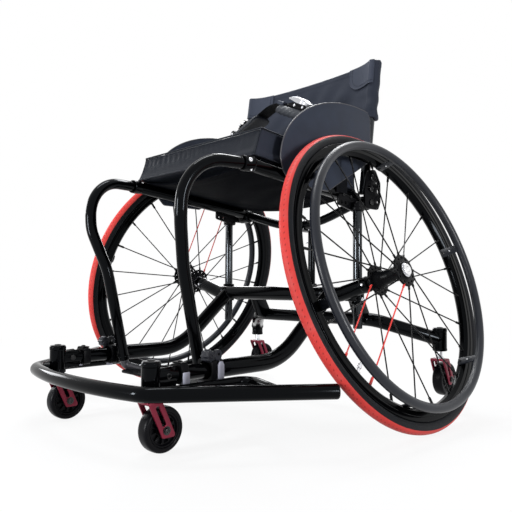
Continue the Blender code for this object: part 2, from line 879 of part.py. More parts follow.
def camber_tube_route(reach):
    half = [axle_point(-reach), (BEND_X, 0, CAMBER_TUBE_Z)]
    return bent_route(mirror_points(half), (CAMBER_TUBE_BEND, CAMBER_TUBE_BEND), math.radians(6))


def camber_tube_space():
    """The room that a piece fitted against the camber tube leaves for it."""
    route = camber_tube_route(AXLE_REACH)
    return tube("tool", route, CAMBER_TUBE_RADIUS + TOUCH_GAP, satin_black(), CAMBER_TUBE_SIDES)


def build_camber_tube():
    end = HUB_END + RECEIVER_CLEARANCE
    route = camber_tube_route(end + RECEIVER_LENGTH - RECEIVER_OVERLAP)
    body = tube("camber_tube", route, CAMBER_TUBE_RADIUS, gloss_black(), CAMBER_TUBE_SIDES)
    low = CAMBER_TUBE_Z - SLEEVE_HEIGHT / 2
    high = CAMBER_TUBE_Z + SLEEVE_HEIGHT / 2
    web_back = POST_Y - POST_RADIUS - SINK
    additions = []
    bores = []
    for side in (1, -1):
        places = (end, end + RECEIVER_LENGTH, end - OVERRUN, AXLE_REACH + AXLE_END_ROOM)
        ends = [Vector(axle_point(-reach)) for reach in places]
        for point in ends:
            point.x *= side
        additions.append(rod(ends[0], ends[1], RECEIVER_RADIUS, BORE_SIDES))
        bores.append(rod(ends[2], ends[3], AXLE_RADIUS + RUNNING_GAP, BORE_SIDES))
        x = side * POST_X
        additions.append(rod((x, POST_Y, low), (x, POST_Y, high), SLEEVE_RADIUS))
        web_low = (x - WEB_HALF_WIDTH, 0, low + WEB_INSET)
        web_high = (x + WEB_HALF_WIDTH, web_back, high - WEB_INSET)
        additions.append(block(web_low, web_high))
        bores.append(rod((x, POST_Y, low - OVERRUN), (x, POST_Y, high + OVERRUN), POST_RADIUS + TOUCH_GAP))
    return cut(combine(body, additions), bores)


def side_route(front_y):
    corners = [(SIDE_X, 0, CAMBER_TUBE_Z), (SIDE_X, SIDE_KNEE_Y, SIDE_Z), (SIDE_X, front_y, SIDE_Z)]
    return bent_route(corners, (SIDE_BEND,), math.radians(8))


def build_side_tube():
    body = tube("side_tube", side_route(SIDE_FRONT_Y), SIDE_RADIUS, gloss_black(), BORE_SIDES)
    cope = camber_tube_space()
    bore = rod(
        (SIDE_X, SIDE_FRONT_Y - OVERRUN, SIDE_Z),
        (SIDE_X, SIDE_FRONT_Y + SLIDER_INSERT + SLIDER_ROOM, SIDE_Z),
        SLIDER_RADIUS + TOUCH_GAP,
    )
    return cut(body, [cope, bore])


def wing_route():
    """From the left end round the front to the right end: straight sides, and a front bowed forwards."""
    radius = (WING_CORNER_X ** 2 + WING_BOW ** 2) / (2 * WING_BOW)
    slope = math.asin(WING_CORNER_X / radius)
    front = []
    for share in (0.75, 0.5, 0.25, 0):
        angle = slope * share
        y = WING_CORNER_Y - WING_BOW + radius * (1 - math.cos(angle))
        front.append((radius * math.sin(angle), y, WING_Z))
    corners = [(WING_END_X, WING_END_Y, WING_Z), (WING_CORNER_X, WING_CORNER_Y, WING_Z), front[0]]
    half = bent_route(corners, (WING_CORNER_BEND,)) + front[1:]
    return mirror_points([tuple(point) for point in half])


def build_wing():
    wing = tube("wing_bumper", wing_route(), WING_RADIUS, gloss_black())
    lean = (WING_END_X - WING_CORNER_X) / (WING_END_Y - WING_CORNER_Y)
    wing_y = WING_CORNER_Y + (BRACE_WING_X - WING_CORNER_X) / lean
    for side in (1, -1):
        corners = [
            (side * BRACE_X, WING_CORNER_Y + BRACE_FRONT_INSET, WING_Z),
            (side * BRACE_X, BRACE_BACK_Y, WING_Z),
            (side * BRACE_WING_X, wing_y, WING_Z),
        ]
        route = bent_route(corners, (BRACE_BEND,), math.radians(16))
        brace = tube("brace", route, BRACE_RADIUS, gloss_black())
        combine(wing, [brace])
    return wing


def build_slider():
    back = SIDE_FRONT_Y + SLIDER_INSERT
    body = rod((SIDE_X, back, SIDE_Z), (SIDE_X, FRONT_BARREL_Y, SIDE_Z), SLIDER_RADIUS)
    barrel_low = (SIDE_X, FRONT_BARREL_Y, FRONT_BARREL_LOW)
    barrel_high = (SIDE_X, FRONT_BARREL_Y, FRONT_BARREL_HIGH)
    barrel = rod(barrel_low, barrel_high, BARREL_OUTER_RADIUS, BORE_SIDES)
    middle = (FRONT_BARREL_LOW + FRONT_BARREL_HIGH) / 2
    ear = block(
        (SIDE_X - EAR_WIDTH / 2, FRONT_BARREL_Y, middle - EAR_HEIGHT / 2),
        (SIDE_X + EAR_WIDTH / 2, FRONT_BARREL_Y + EAR_LENGTH, middle + EAR_HEIGHT / 2),
    )
    to_corner = Vector((WING_CORNER_X - SIDE_X, WING_CORNER_Y - FRONT_BARREL_Y, 0)).normalized()
    lug_start = Vector((SIDE_X, FRONT_BARREL_Y, WING_Z + LUG_RISE))
    lug = rod(lug_start, lug_start + to_corner * LUG_LENGTH, LUG_RADIUS)
    combine(body, [barrel, ear, lug])
    wing_space = tube("tool", wing_route(), WING_RADIUS + TOUCH_GAP, satin_black())
    stem_space = rod(
        (SIDE_X, FRONT_BARREL_Y, FRONT_BARREL_LOW - OVERRUN),
        (SIDE_X, FRONT_BARREL_Y, FRONT_BARREL_HIGH - STEM_ROOF),
        STEM_RADIUS + TOUCH_GAP,
        BORE_SIDES,
    )
    hole_y = FRONT_BARREL_Y + EAR_HOLE_PLACE
    near = (SIDE_X - EAR_WIDTH / 2 - OVERRUN, hole_y, SIDE_Z)
    far = (SIDE_X + EAR_WIDTH / 2 + OVERRUN, hole_y, SIDE_Z)
    hole = rod(near, far, EAR_HOLE_RADIUS)
    cut(body, [wing_space, stem_space, hole])
    body.data.materials.clear()
    body.data.materials.append(satin_black())
    return body


def clamp_outline(inner_radius, outboard):
    """A collar round a tube, seen from the front, with a flat face outboard."""
    reach = inner_radius + CLAMP_WALL
    corners = [
        (SIDE_X - reach, SIDE_Z - reach),
        (SIDE_X + outboard, SIDE_Z - reach),
        (SIDE_X + outboard, SIDE_Z + reach),
        (SIDE_X - reach, SIDE_Z + reach),
    ]
    return rounded(corners, CLAMP_RADII)


def build_slider_clamp():
    """The collar that locks the slider: a knob on a bent link above it and a strap plate outboard."""
    front = CLAMP_BACK_Y - CLAMP_WIDTH
    outboard = SIDE_RADIUS + CLAMP_WALL
    collar = extruded(clamp_outline(SIDE_RADIUS, outboard), "Y", front, CLAMP_BACK_Y)
    body = add_object("slider_clamp", collar, satin_black())
    face = SIDE_X + outboard
    plate_low = SIDE_Z - CLAMP_PLATE_DROP
    plate = block(
        (face - SINK, CLAMP_BACK_Y - STRAP_WIDTH, plate_low),
        (face + STRAP_PLATE, CLAMP_BACK_Y - SINK, plate_low + CLAMP_PLATE_HEIGHT),
    )
    link_x = SIDE_X + LINK_OFFSET
    link = block(
        (link_x - LINK_WIDTH / 2, front + LINK_FRONT_INSET, SIDE_Z),
        (link_x + LINK_WIDTH / 2, CLAMP_BACK_Y - LINK_BACK_INSET, KNOB_Z),
    )
    knob_x = SIDE_X + KNOB_OFFSET
    knob_y = front - KNOB_AHEAD
    knob = rod(
        (knob_x - KNOB_LENGTH / 2, knob_y, KNOB_Z),
        (knob_x + KNOB_LENGTH / 2, knob_y, KNOB_Z),
        KNOB_RADIUS,
        BORE_SIDES,
    )
    combine(body, [plate, link, knob])
    tube_space = rod(
        (SIDE_X, front - KNOB_RADIUS - OVERRUN, SIDE_Z),
        (SIDE_X, CLAMP_BACK_Y + OVERRUN, SIDE_Z),
        SIDE_RADIUS + TOUCH_GAP,
        BORE_SIDES,
    )
    return cut(body, [tube_space])


def build_strap_clamp():
    """The foot strap clamp on the slider, with its satin plate outboard."""
    front = STRAP_Y - STRAP_WIDTH / 2
    back = STRAP_Y + STRAP_WIDTH / 2
    outboard = SLIDER_RADIUS + CLAMP_WALL
    collar = extruded(clamp_outline(SLIDER_RADIUS, outboard), "Y", front, back)
    body = add_object("strap_clamp", collar, satin_black())
    face = SIDE_X + outboard
    plate_low = SIDE_Z - STRAP_PLATE_DROP
    plate = block(
        (face - SINK, front + SINK, plate_low),
        (face + STRAP_PLATE, back - SINK, plate_low + STRAP_PLATE_HEIGHT),
    )
    combine(body, [plate])
    tube_space = rod(
        (SIDE_X, front - OVERRUN, SIDE_Z),
        (SIDE_X, back + OVERRUN, SIDE_Z),
        SLIDER_RADIUS + TOUCH_GAP,
    )
    return cut(body, [tube_space])


def loop_route():
    corners = [
        (RAIL_X, RAIL_FRONT_Y - TOUCH_GAP, RAIL_FRONT_Z),
        (LOOP_TOP_X, LOOP_TOP_Y, LOOP_TOP_Z),
        (LOOP_KNEE_X, LOOP_TOP_Y, LOOP_KNEE_Z),
        (LOOP_SHIN_X, LOOP_SHIN_Y, LOOP_SHIN_Z),
        (LOOP_FOOT_X, LOOP_FOOT_Y, LOOP_FOOT_Z),
    ]
    return bent_route(corners, LOOP_BENDS, math.radians(11))


def build_front_loop():
    loop = tube("front_loop", loop_route(), LOOP_RADIUS, gloss_black())
    clamp_side = SIDE_X - SIDE_RADIUS - CLAMP_WALL - TOUCH_GAP
    boss_y = CLAMP_BACK_Y - CLAMP_WIDTH / 2
    boss = rod((LOOP_FOOT_X, boss_y, SIDE_Z), (clamp_side, boss_y, SIDE_Z), LOOP_BOSS_RADIUS)
    combine(loop, [boss])
    foot = Vector(loop_route()[-1])
    upward = (Vector(loop_route()[-2]) - foot).normalized()
    bore_end = foot + upward * (HANGER_INSERT + HANGER_ROOM)
    bore = rod(foot - upward * OVERRUN, bore_end, HANGER_RADIUS + TOUCH_GAP)
    return cut(loop, [bore])


def build_footplate():
    """The plate on its two hanger tubes, which slide into the ends of the front loops."""
    back = PLATE_FRONT_Y + PLATE_DEPTH
    outline = rounded(
        [
            (-PLATE_HALF_WIDTH, PLATE_FRONT_Y),
            (PLATE_HALF_WIDTH, PLATE_FRONT_Y),
            (PLATE_HALF_WIDTH - PLATE_TAPER, back),
            (-PLATE_HALF_WIDTH + PLATE_TAPER, back),
        ],
        PLATE_RADII,
    )
    slab = extruded(outline, "Z", PLATE_Z, PLATE_Z + PLATE_THICKNESS)
    plate = add_object("footplate", slab, satin_black())
    foot = Vector(loop_route()[-1])
    upward = (Vector(loop_route()[-2]) - foot).normalized()
    places = (
        foot + upward * HANGER_INSERT,
        foot - upward * HANGER_EXIT,
        Vector((foot.x - HANGER_INWARD, foot.y + HANGER_BACKWARD, PLATE_Z + HANGER_RISE)),
    )
    hangers = []
    for side in (1, -1):
        corners = [(side * point.x, point.y, point.z) for point in places]
        hangers.append(tube("hanger", bent_route(corners, (HANGER_BEND,)), HANGER_RADIUS, grey_tube()))
    combine(plate, hangers)
    reach = PLATE_HALF_WIDTH + PLATE_DEPTH
    under = block((-reach, -reach, PLATE_Z - PLATE_DEPTH), (reach, reach, PLATE_Z))
    under.data.transform(Matrix.Translation((0, PLATE_FRONT_Y, 0)))
    return cut(plate, [under])


# Seat


def build_seat_rail():
    """The rail, the socket for the front loop, and the plate with the height post's socket."""
    route = [(RAIL_X, RAIL_FRONT_Y, RAIL_FRONT_Z), (RAIL_X, RAIL_BACK_Y, RAIL_BACK_Z)]
    rail = tube("seat_rail", route, RAIL_RADIUS, gloss_black())
    entry = Vector(loop_route()[0])
    inward = (Vector(loop_route()[1]) - entry).normalized()
    socket_back = entry - inward * (SOCKET_LENGTH - SOCKET_DEPTH)
    socket = rod(entry + inward * SOCKET_DEPTH, socket_back, SOCKET_RADIUS, BORE_SIDES)
    inner = RAIL_X + RAIL_RADIUS - POST_PLATE_SINK
    outer = inner + POST_PLATE_THICKNESS
    back = POST_Y + POST_PLATE_MARGIN
    outline = rounded(
        [
            (POST_PLATE_FRONT_Y, POST_PLATE_FRONT_Z),
            (back, POST_PLATE_LOW_Z),
            (back, rail_z(back) - POST_PLATE_DROP),
            (POST_PLATE_FRONT_Y, rail_z(POST_PLATE_FRONT_Y) - POST_PLATE_DROP),
        ],
        POST_PLATE_RADII,
    )
    plate = add_object("tool", extruded(outline, "X", inner, outer), satin_black())
    low = POST_PLATE_LOW_Z + POST_SOCKET_RISE
    high = POST_TOP + POST_SOCKET_ROOF
    post_socket = rod((POST_X, POST_Y, low), (POST_X, POST_Y, high), SLEEVE_RADIUS, BORE_SIDES)
    combine(rail, [socket, plate, post_socket])
    loop_space = tube("tool", loop_route(), LOOP_RADIUS + TOUCH_GAP, satin_black())
    post_space = rod(
        (POST_X, POST_Y, low - OVERRUN),
        (POST_X, POST_Y, POST_TOP + TOUCH_GAP),
        POST_RADIUS + TOUCH_GAP,
    )
    holes = []
    for place in POST_PLATE_HOLES:
        y = POST_PLATE_FRONT_Y + place
        z = POST_PLATE_FRONT_Z + POST_PLATE_HOLE_RISE
        near = (inner - OVERRUN, y, z)
        far = (outer + OVERRUN, y, z)
        holes.append(rod(near, far, POST_PLATE_HOLE_RADIUS, SMALL_HOLE_SIDES))
    return cut(rail, [loop_space, post_space] + holes)


def build_height_post():
    route = [(POST_X, POST_Y, POST_BOTTOM), (POST_X, POST_Y, POST_TOP)]
    return tube("height_post", route, POST_RADIUS, gloss_black())


def cross_tube_route():
    half = [
        (BACK_PLATE_X - TOUCH_GAP, CROSS_Y, CROSS_Z),
        (CROSS_SHOULDER_X, CROSS_Y, CROSS_Z),
        (0, CROSS_Y + CROSS_APEX_SHIFT, CROSS_APEX_Z),
    ]
    return bent_route(mirror_points(half), CROSS_BENDS, math.radians(7))


def build_cross_tube():
    arch = tube("seat_cross_tube", cross_tube_route(), CROSS_TUBE_RADIUS, gloss_black())
    bosses = []
    for side in (1, -1):
        start = (side * (CROSS_SHOULDER_X + CROSS_BOSS_INSET), CROSS_Y, CROSS_Z)
        end = (side * (BACK_PLATE_X - TOUCH_GAP), CROSS_Y, CROSS_Z)
        bosses.append(rod(start, end, CROSS_BOSS_RADIUS, BORE_SIDES))
    return combine(arch, bosses)


def sling_shape():
    """Angle round the rail at which the sling leaves it, and the sag's curve: low + bend * x * x."""
    reach = RAIL_RADIUS + TOUCH_GAP + SLING_THICKNESS / 2
    low, high = 0.01, 1.4
    for _ in range(40):
        angle = (low + high) / 2
        x = RAIL_X - reach * math.sin(angle)
        if reach * math.cos(angle) - x * math.tan(angle) / 2 + SLING_SAG > 0:
            low = angle
        else:
            high = angle
    return angle, reach, math.tan(angle) / (2 * x)


def sling_section(y):
    """The sling's middle line at one place along the seat, from the left rail to the right one."""
    angle, reach, bend = sling_shape()
    half = []
    for i in range(5):
        turn = -SLING_WRAP + (angle + SLING_WRAP) * i / 4
        half.append((RAIL_X - reach * math.sin(turn), rail_z(y) + reach * math.cos(turn)))
    edge = half[-1][0]
    for i in range(1, 6):
        x = edge * (1 - i / 5)
        half.append((x, rail_z(y) - SLING_SAG + bend * x * x))
    return half + [(-x, z) for x, z in reversed(half[:-1])]


def offset_line(line, distance):
    """A line of points moved sideways, up where distance is positive on a line that runs along -X."""
    moved = []
    for i, (x, z) in enumerate(line):
        before = line[max(i - 1, 0)]
        after = line[min(i + 1, len(line) - 1)]
        run = math.hypot(after[0] - before[0], after[1] - before[1])
        across = (after[1] - before[1]) / run
        up = (before[0] - after[0]) / run
        moved.append((x + across * distance, z + up * distance))
    return moved


def build_sling():
    rings = []
    steps = 3
    for i in range(steps + 1):
        y = SLING_FRONT_Y + (SLING_BACK_Y - SLING_FRONT_Y) * i / steps
        line = sling_section(y)
        upper = offset_line(line, SLING_THICKNESS / 2)
        lower = offset_line(line, -SLING_THICKNESS / 2)
        rings.append([(x, y, z) for x, z in upper] + [(x, y, z) for x, z in reversed(lower)])
    return add_object("seat_sling", bridged(rings), black_fabric())


def cushion_ring(y, inset, slant):
    """One section of the cushion: flat underside, drawn-in sides and a crowned top."""
    bottom = rail_z(y) + RAIL_RADIUS + SLING_THICKNESS + 2 * TOUCH_GAP
    half_width = CUSHION_HALF_WIDTH - inset
    low = bottom + inset
    high = bottom + CUSHION_THICKNESS - CUSHION_CROWN - inset
    side = []
    for share, draw in zip(CUSHION_SIDE_HEIGHTS, CUSHION_SIDE_DRAWS):
        side.append((half_width - draw, low + (high - low) * share))
    top = []
    for i in range(7):
        u = 1 - i / 3
        crown = CUSHION_CROWN * (1 - abs(u) ** CUSHION_CROWN_POWER)
        top.append(((half_width - CUSHION_TOP_INSET) * u, high + crown))
    outline = side + top + [(-x, z) for x, z in reversed(side)]
    return [(x, y + slant * (z - low) / (high - low), z) for x, z in outline]


def build_cushion():
    rings = []
    span = CUSHION_BACK_Y - CUSHION_FRONT_Y
    rounding = []
    for share in (0, 0.12, 0.45, 1):
        inset = CUSHION_EDGE * (1 - math.sqrt(1 - (1 - share) ** 2))
        rounding.append((share * CUSHION_EDGE, inset))
    places = list(rounding)
    for i in range(1, 6):
        places.append((CUSHION_EDGE + (span - 2 * CUSHION_EDGE) * i / 6, 0))
    places += [(span - along, inset) for along, inset in reversed(rounding)]
    for along, inset in places:
        rings.append(cushion_ring(CUSHION_FRONT_Y + along, inset, CUSHION_SLANT * (1 - along / span)))
    return add_object("cushion", bridged(rings), black_fabric())


# Rear bar and strut


def rear_bar_route():
    middle_z = (REAR_BARREL_LOW + REAR_BARREL_HIGH) / 2
    half = [(REAR_BARREL_X, REAR_BARREL_Y, middle_z), (REAR_BAR_BEND_X, STRUT_Y, REAR_BAR_Z)]
    return bent_route(mirror_points(half), (REAR_BAR_BEND, REAR_BAR_BEND))


def build_rear_bar():
    """The anti-tip bar with its caster barrels, its brackets to the camber tube and the strut's sleeve."""
    bar = tube("rear_bar", rear_bar_route(), REAR_BAR_RADIUS, gloss_black())
    additions = [rod((0, STRUT_Y, REAR_BAR_Z), (0, STRUT_Y, STRUT_SLEEVE_TOP), STRUT_SLEEVE_RADIUS)]
    sleeve_floor = (0, STRUT_Y, STRUT_SLEEVE_TOP - STRUT_INSERT - STRUT_ROOM)
    bores = [rod(sleeve_floor, (0, STRUT_Y, STRUT_SLEEVE_TOP + OVERRUN), STRUT_RADIUS + TOUCH_GAP)]
    low = CAMBER_TUBE_Z - BRACKET_DROP
    high = CAMBER_TUBE_Z + BRACKET_RISE
    heel = REAR_BAR_Z - BRACKET_HEEL_DROP
    outline = rounded(
        [
            (0, low),
            (STRUT_Y - BRACKET_LOW_RUN, low),
            (STRUT_Y - BRACKET_HEEL_RUN, heel),
            (STRUT_Y, heel),
            (STRUT_Y, REAR_BAR_Z + BRACKET_TOE_RISE),
            (STRUT_Y - BRACKET_HIGH_RUN, high),
            (0, high),
        ],
        (0, BRACKET_LOW_BEND, 0, 0, 0, BRACKET_HIGH_BEND, 0),
    )
    for side in (1, -1):
        x = side * REAR_BARREL_X
        barrel_low = (x, REAR_BARREL_Y, REAR_BARREL_LOW)
        barrel_high = (x, REAR_BARREL_Y, REAR_BARREL_HIGH)
        additions.append(rod(barrel_low, barrel_high, BARREL_OUTER_RADIUS, BORE_SIDES))
        near = side * BRACKET_X - BRACKET_WIDTH / 2
        bracket = extruded(outline, "X", near, near + BRACKET_WIDTH)
        additions.append(add_object("tool", bracket, gloss_black()))
        bore_low = (x, REAR_BARREL_Y, REAR_BARREL_LOW - OVERRUN)
        bore_high = (x, REAR_BARREL_Y, REAR_BARREL_HIGH - STEM_ROOF)
        bores.append(rod(bore_low, bore_high, STEM_RADIUS + TOUCH_GAP, BORE_SIDES))
    bores.append(camber_tube_space())
    ahead = 3 * CAMBER_TUBE_RADIUS
    bores.append(block((-HUB_X, -ahead, CAMBER_TUBE_Z - ahead), (HUB_X, 0, CAMBER_TUBE_Z + ahead)))
    return cut(combine(bar, additions), bores)


def build_strut():
    """The strut that slides in the rear bar's sleeve, with the clamp that holds the arched tube."""
    arch_low = min(cross_tube_route(), key=lambda point: abs(point.x))
    clamp_z = arch_low.z
    base = STRUT_SLEEVE_TOP - STRUT_INSERT
    post = rod((0, STRUT_Y, base), (0, STRUT_Y, clamp_z), STRUT_RADIUS)
    radius = CROSS_TUBE_RADIUS + CLAMP_WALL
    half = STRUT_CLAMP_WIDTH / 2
    front = arch_low.y - radius
    back = STRUT_Y + STRUT_RADIUS + STRUT_CLAMP_BACK
    low = clamp_z - radius
    high = clamp_z + STRUT_CLAMP_RISE
    outline = rounded([(front, low), (back, low), (back, high), (front, high)], STRUT_CLAMP_RADII)
    clamp = add_object("tool", extruded(outline, "X", -half, half), satin_black())
    pin_z = clamp_z - STRUT_PIN_DROP
    pin = rod(
        (-STRUT_PIN_RIGHT, STRUT_Y, pin_z),
        (STRUT_PIN_LEFT, STRUT_Y, pin_z),
        STRUT_PIN_RADIUS,
        SMALL_HOLE_SIDES,
    )
    combine(post, [clamp, pin])
    space = tube("tool", cross_tube_route(), CROSS_TUBE_RADIUS + TOUCH_GAP, satin_black())
    return cut(post, [space])


# Casters, built with the swivel axis on Z and the wheel trailing towards +Y


def build_fork():
    """Two swept legs with a long slot, under a crown that carries the stem."""
    inside = CASTER_WIDTH / 2 + FORK_SIDE_GAP
    outside = inside + FORK_LEG
    half = FORK_WIDTH / 2
    top = FORK_TOP_SHIFT
    low = top + FORK_SWEEP
    outline = rounded(
        [
            (low - half, FORK_BOTTOM),
            (low + half, FORK_BOTTOM),
            (top + half, FORK_TOP),
            (top - half, FORK_TOP),
        ],
        FORK_RADII,
        2,
    )
    body = add_object("fork", extruded(outline, "X", -outside, outside), crimson())
    slope = FORK_SWEEP / (FORK_TOP - FORK_BOTTOM)
    high = FORK_TOP - FORK_CROWN
    shift = top + slope * FORK_CROWN
    floor = FORK_BOTTOM - OVERRUN
    reach = FORK_WIDTH + OVERRUN
    room = [(low - reach, floor), (low + reach, floor), (shift + reach, high), (shift - reach, high)]
    inner = add_object("tool", extruded(room, "X", -inside, inside), crimson())
    slot = []
    for centre_z, start in ((FORK_TOP - FORK_SLOT_TOP, 0), (FORK_TOP - FORK_SLOT_BOTTOM, math.pi)):
        centre_y = top + slope * (FORK_TOP - centre_z)
        for i in range(5):
            angle = start + math.pi * i / 4
            u = FORK_SLOT_HALF_WIDTH * math.cos(angle)
            v = FORK_SLOT_HALF_WIDTH * math.sin(angle)
            slot.append((centre_y + u, centre_z + v))
    past = outside + OVERRUN
    slot_tool = add_object("tool", extruded(slot, "X", -past, past), crimson())
    axle_low = (-past, CASTER_TRAIL, CASTER_RADIUS)
    axle_high = (past, CASTER_TRAIL, CASTER_RADIUS)
    axle_tool = rod(axle_low, axle_high, CASTER_AXLE_RADIUS + TOUCH_GAP)
    cut(body, [inner, slot_tool, axle_tool])
    return body


def add_stem(fork, top):
    """The stem, with a bearing shoulder where it leaves the fork's crown."""
    base = (0, 0, FORK_TOP - STEM_SINK)
    stem = rod(base, (0, 0, top), STEM_RADIUS)
    shoulder = rod(base, (0, 0, FORK_TOP + SHOULDER_RISE), STEM_RADIUS + SHOULDER_FLANGE)
    return combine(fork, [stem, shoulder])


def build_caster_wheel():
    """A solid tyre on a dished core, turned about Z."""
    half = CASTER_WIDTH / 2
    dish = half - CASTER_CORE_DISH
    bore = CASTER_AXLE_RADIUS + TOUCH_GAP
    right = [
        (bore, half),
        (CASTER_BOSS_RADIUS, half),
        (CASTER_BOSS_RADIUS + CASTER_BOSS_DRAFT, dish),
        (CASTER_CORE_RADIUS, dish),
        (CASTER_CORE_RADIUS + CASTER_CORE_LIP, half - CASTER_LIP_INSET),
        (CASTER_RADIUS - CASTER_SHOULDER, half - CASTER_SHOULDER_INSET),
        (CASTER_RADIUS, half - CASTER_TREAD_INSET),
    ]
    profile = right + [(radius, -height) for radius, height in reversed(right)]
    wheel = add_object("caster_wheel", turned(profile, CASTER_SEGMENTS), black_rubber())
    wheel.data.transform(Matrix.Rotation(math.pi / 2, 4, "Y"))
    return wheel


def build_caster_axle():
    leg = CASTER_WIDTH / 2 + FORK_SIDE_GAP + FORK_LEG + TOUCH_GAP
    end = leg + CASTER_HEAD_DEPTH
    profile = [
        (0, -end),
        (CASTER_HEAD_RADIUS, -end),
        (CASTER_HEAD_RADIUS, -leg),
        (CASTER_AXLE_RADIUS, -leg),
        (CASTER_AXLE_RADIUS, leg),
        (CASTER_HEAD_RADIUS, leg),
        (CASTER_HEAD_RADIUS, end),
        (0, end),
    ]
    axle = add_object("caster_axle", turned(profile, TUBE_SIDES), bright_steel())
    axle.data.transform(Matrix.Rotation(math.pi / 2, 4, "Y"))
    return axle


def place_casters(datum):
    fork_mesh = build_fork()
    wheel_mesh = build_caster_wheel()
    axle_mesh = build_caster_axle()
    places = {
        "front_left": (SIDE_X, FRONT_BARREL_Y, 0, FRONT_BARREL_HIGH),
        "front_right": (-SIDE_X, FRONT_BARREL_Y, 0, FRONT_BARREL_HIGH),
        "rear_left": (REAR_BARREL_X, REAR_BARREL_Y, REAR_CASTER_LIFT, REAR_BARREL_HIGH),
        "rear_right": (-REAR_BARREL_X, REAR_BARREL_Y, REAR_CASTER_LIFT, REAR_BARREL_HIGH),
    }
    for place, (x, y, lift, barrel_top) in places.items():
        swivel = pivot("swivel_" + place, datum, (x, y, lift))
        spin = pivot("spin_" + place, swivel, (0, CASTER_TRAIL, CASTER_RADIUS))
        fork = add_object("fork_" + place, fork_mesh.data.copy(), crimson())
        add_stem(fork, barrel_top - STEM_ROOF - lift - STEM_END_GAP)
        wheel = add_object("caster_wheel_" + place, wheel_mesh.data, black_rubber())
        axle = add_object("caster_axle_" + place, axle_mesh.data, bright_steel())
        hold(swivel, [fork])
        hold(spin, [wheel, axle])
    for made in (fork_mesh, wheel_mesh, axle_mesh):
        bpy.data.objects.remove(made)


# Backrest, built with the hinge axis on X and leaning back with its posts


def post_point(along):
    """A point on the back post's centreline, measured up from the hinge."""
    return (BACK_POST_X, along * math.sin(BACK_LEAN), along * math.cos(BACK_LEAN))


def build_back_post():
    route = [post_point(-BACK_POST_DROP), post_point(BACK_POST_RISE)]
    post = tube("back_post", route, BACK_POST_RADIUS, gloss_black(), BACK_POST_SIDES)
    outer = BACK_PLATE_X + BACK_PLATE_THICKNESS
    pins = []
    stud_y = -STUD_DROP * math.sin(BACK_LEAN)
    stud_z = -STUD_DROP * math.cos(BACK_LEAN)
    for y, z in ((0, 0), (stud_y, stud_z)):
        head = outer + TOUCH_GAP
        pins.append(rod((BACK_POST_X, y, z), (head + STUD_RADIUS / 20, y, z), STUD_RADIUS))
        pins.append(rod((head, y, z), (outer + STUD_HEAD_DEPTH, y, z), STUD_HEAD_RADIUS))
    return combine(post, pins)


def build_back_bracket():
    """The slotted plate: hinge hole, the stud's slot, lightening holes and the cross tube's bolt."""
    outline = rounded(
        [
            (HINGE_Y - 0.024, CROSS_Z - 0.014),
            (HINGE_Y + 0.026, CROSS_Z - 0.014),
            (HINGE_Y + 0.036, CROSS_Z + 0.004),
            (HINGE_Y + 0.036, CROSS_Z + 0.048),
            (HINGE_Y + 0.016, HINGE_Z + 0.020),
            (HINGE_Y - 0.012, HINGE_Z + 0.016),
            (HINGE_Y - 0.026, CROSS_Z + 0.024),
        ],
        (0.008, 0.008, 0.008, 0.008, 0.010, 0.010, 0.010),
        3,
    )
    low = BACK_PLATE_X
    high = BACK_PLATE_X + BACK_PLATE_THICKNESS
    plate = add_object("back_bracket", extruded(outline, "X", low, high), satin_black())
    bolt_end = high + BACK_PLATE_BOLT_DEPTH
    bolt = rod((high - SINK, CROSS_Y, CROSS_Z), (bolt_end, CROSS_Y, CROSS_Z), BACK_PLATE_BOLT_RADIUS, 6)
    combine(plate, [bolt])
    hole_radius = STUD_RADIUS + TOUCH_GAP
    inside = low - OVERRUN
    outside = high + OVERRUN
    tools = [rod((inside, HINGE_Y, HINGE_Z), (outside, HINGE_Y, HINGE_Z), hole_radius)]
    slot = []
    first = BACK_LEAN - RECLINE_MARGIN
    last = BACK_LEAN + RECLINE + RECLINE_MARGIN
    far_side = (STUD_DROP + hole_radius, first, last)
    near_side = (STUD_DROP - hole_radius, last, first)
    for radius, start, end in (far_side, near_side):
        for i in range(6):
            angle = start + (end - start) * i / 5
            slot.append((HINGE_Y - radius * math.sin(angle), HINGE_Z - radius * math.cos(angle)))
    tools.append(add_object("tool", extruded(slot, "X", inside, outside), satin_black()))
    for angle in (first, last):
        y = HINGE_Y - STUD_DROP * math.sin(angle)
        z = HINGE_Z - STUD_DROP * math.cos(angle)
        tools.append(rod((inside, y, z), (outside, y, z), hole_radius))
    for y, z in ((HINGE_Y + 0.022, HINGE_Z - 0.006), (HINGE_Y + 0.027, CROSS_Z + 0.004)):
        tools.append(rod((inside, y, z), (outside, y, z), BACK_PLATE_HOLE_RADIUS, SMALL_HOLE_SIDES))
    return cut(plate, tools)


def holster_ring(height, puff):
    """One section of the back upholstery: a pocket round each post and a band that sags to the rear."""
    y0 = height * math.sin(BACK_LEAN)
    z = height * math.cos(BACK_LEAN)
    radius = HOLSTER_RADIUS - puff
    half_band = HOLSTER_THICKNESS / 2 - puff * HOLSTER_HEM_SHARE
    outer = []
    for i in range(7):
        angle = math.radians(-90 + 30 * i)
        outer.append((BACK_POST_X + radius * math.cos(angle), y0 + radius * math.sin(angle)))
    front = []
    rear = []
    for i in range(1, 10):
        u = 1 - i / 5
        x = (BACK_POST_X - HOLSTER_BAND_INSET) * u
        sag = y0 + HOLSTER_SAG * (1 - u * u)
        half = half_band + (radius - half_band) * abs(u) ** HOLSTER_POWER
        front.append((x, sag - half))
        rear.append((x, sag + half))
    other = [(-x, y) for x, y in reversed(outer)]
    return [(x, y, z) for x, y in outer + rear + other + front[::-1]]


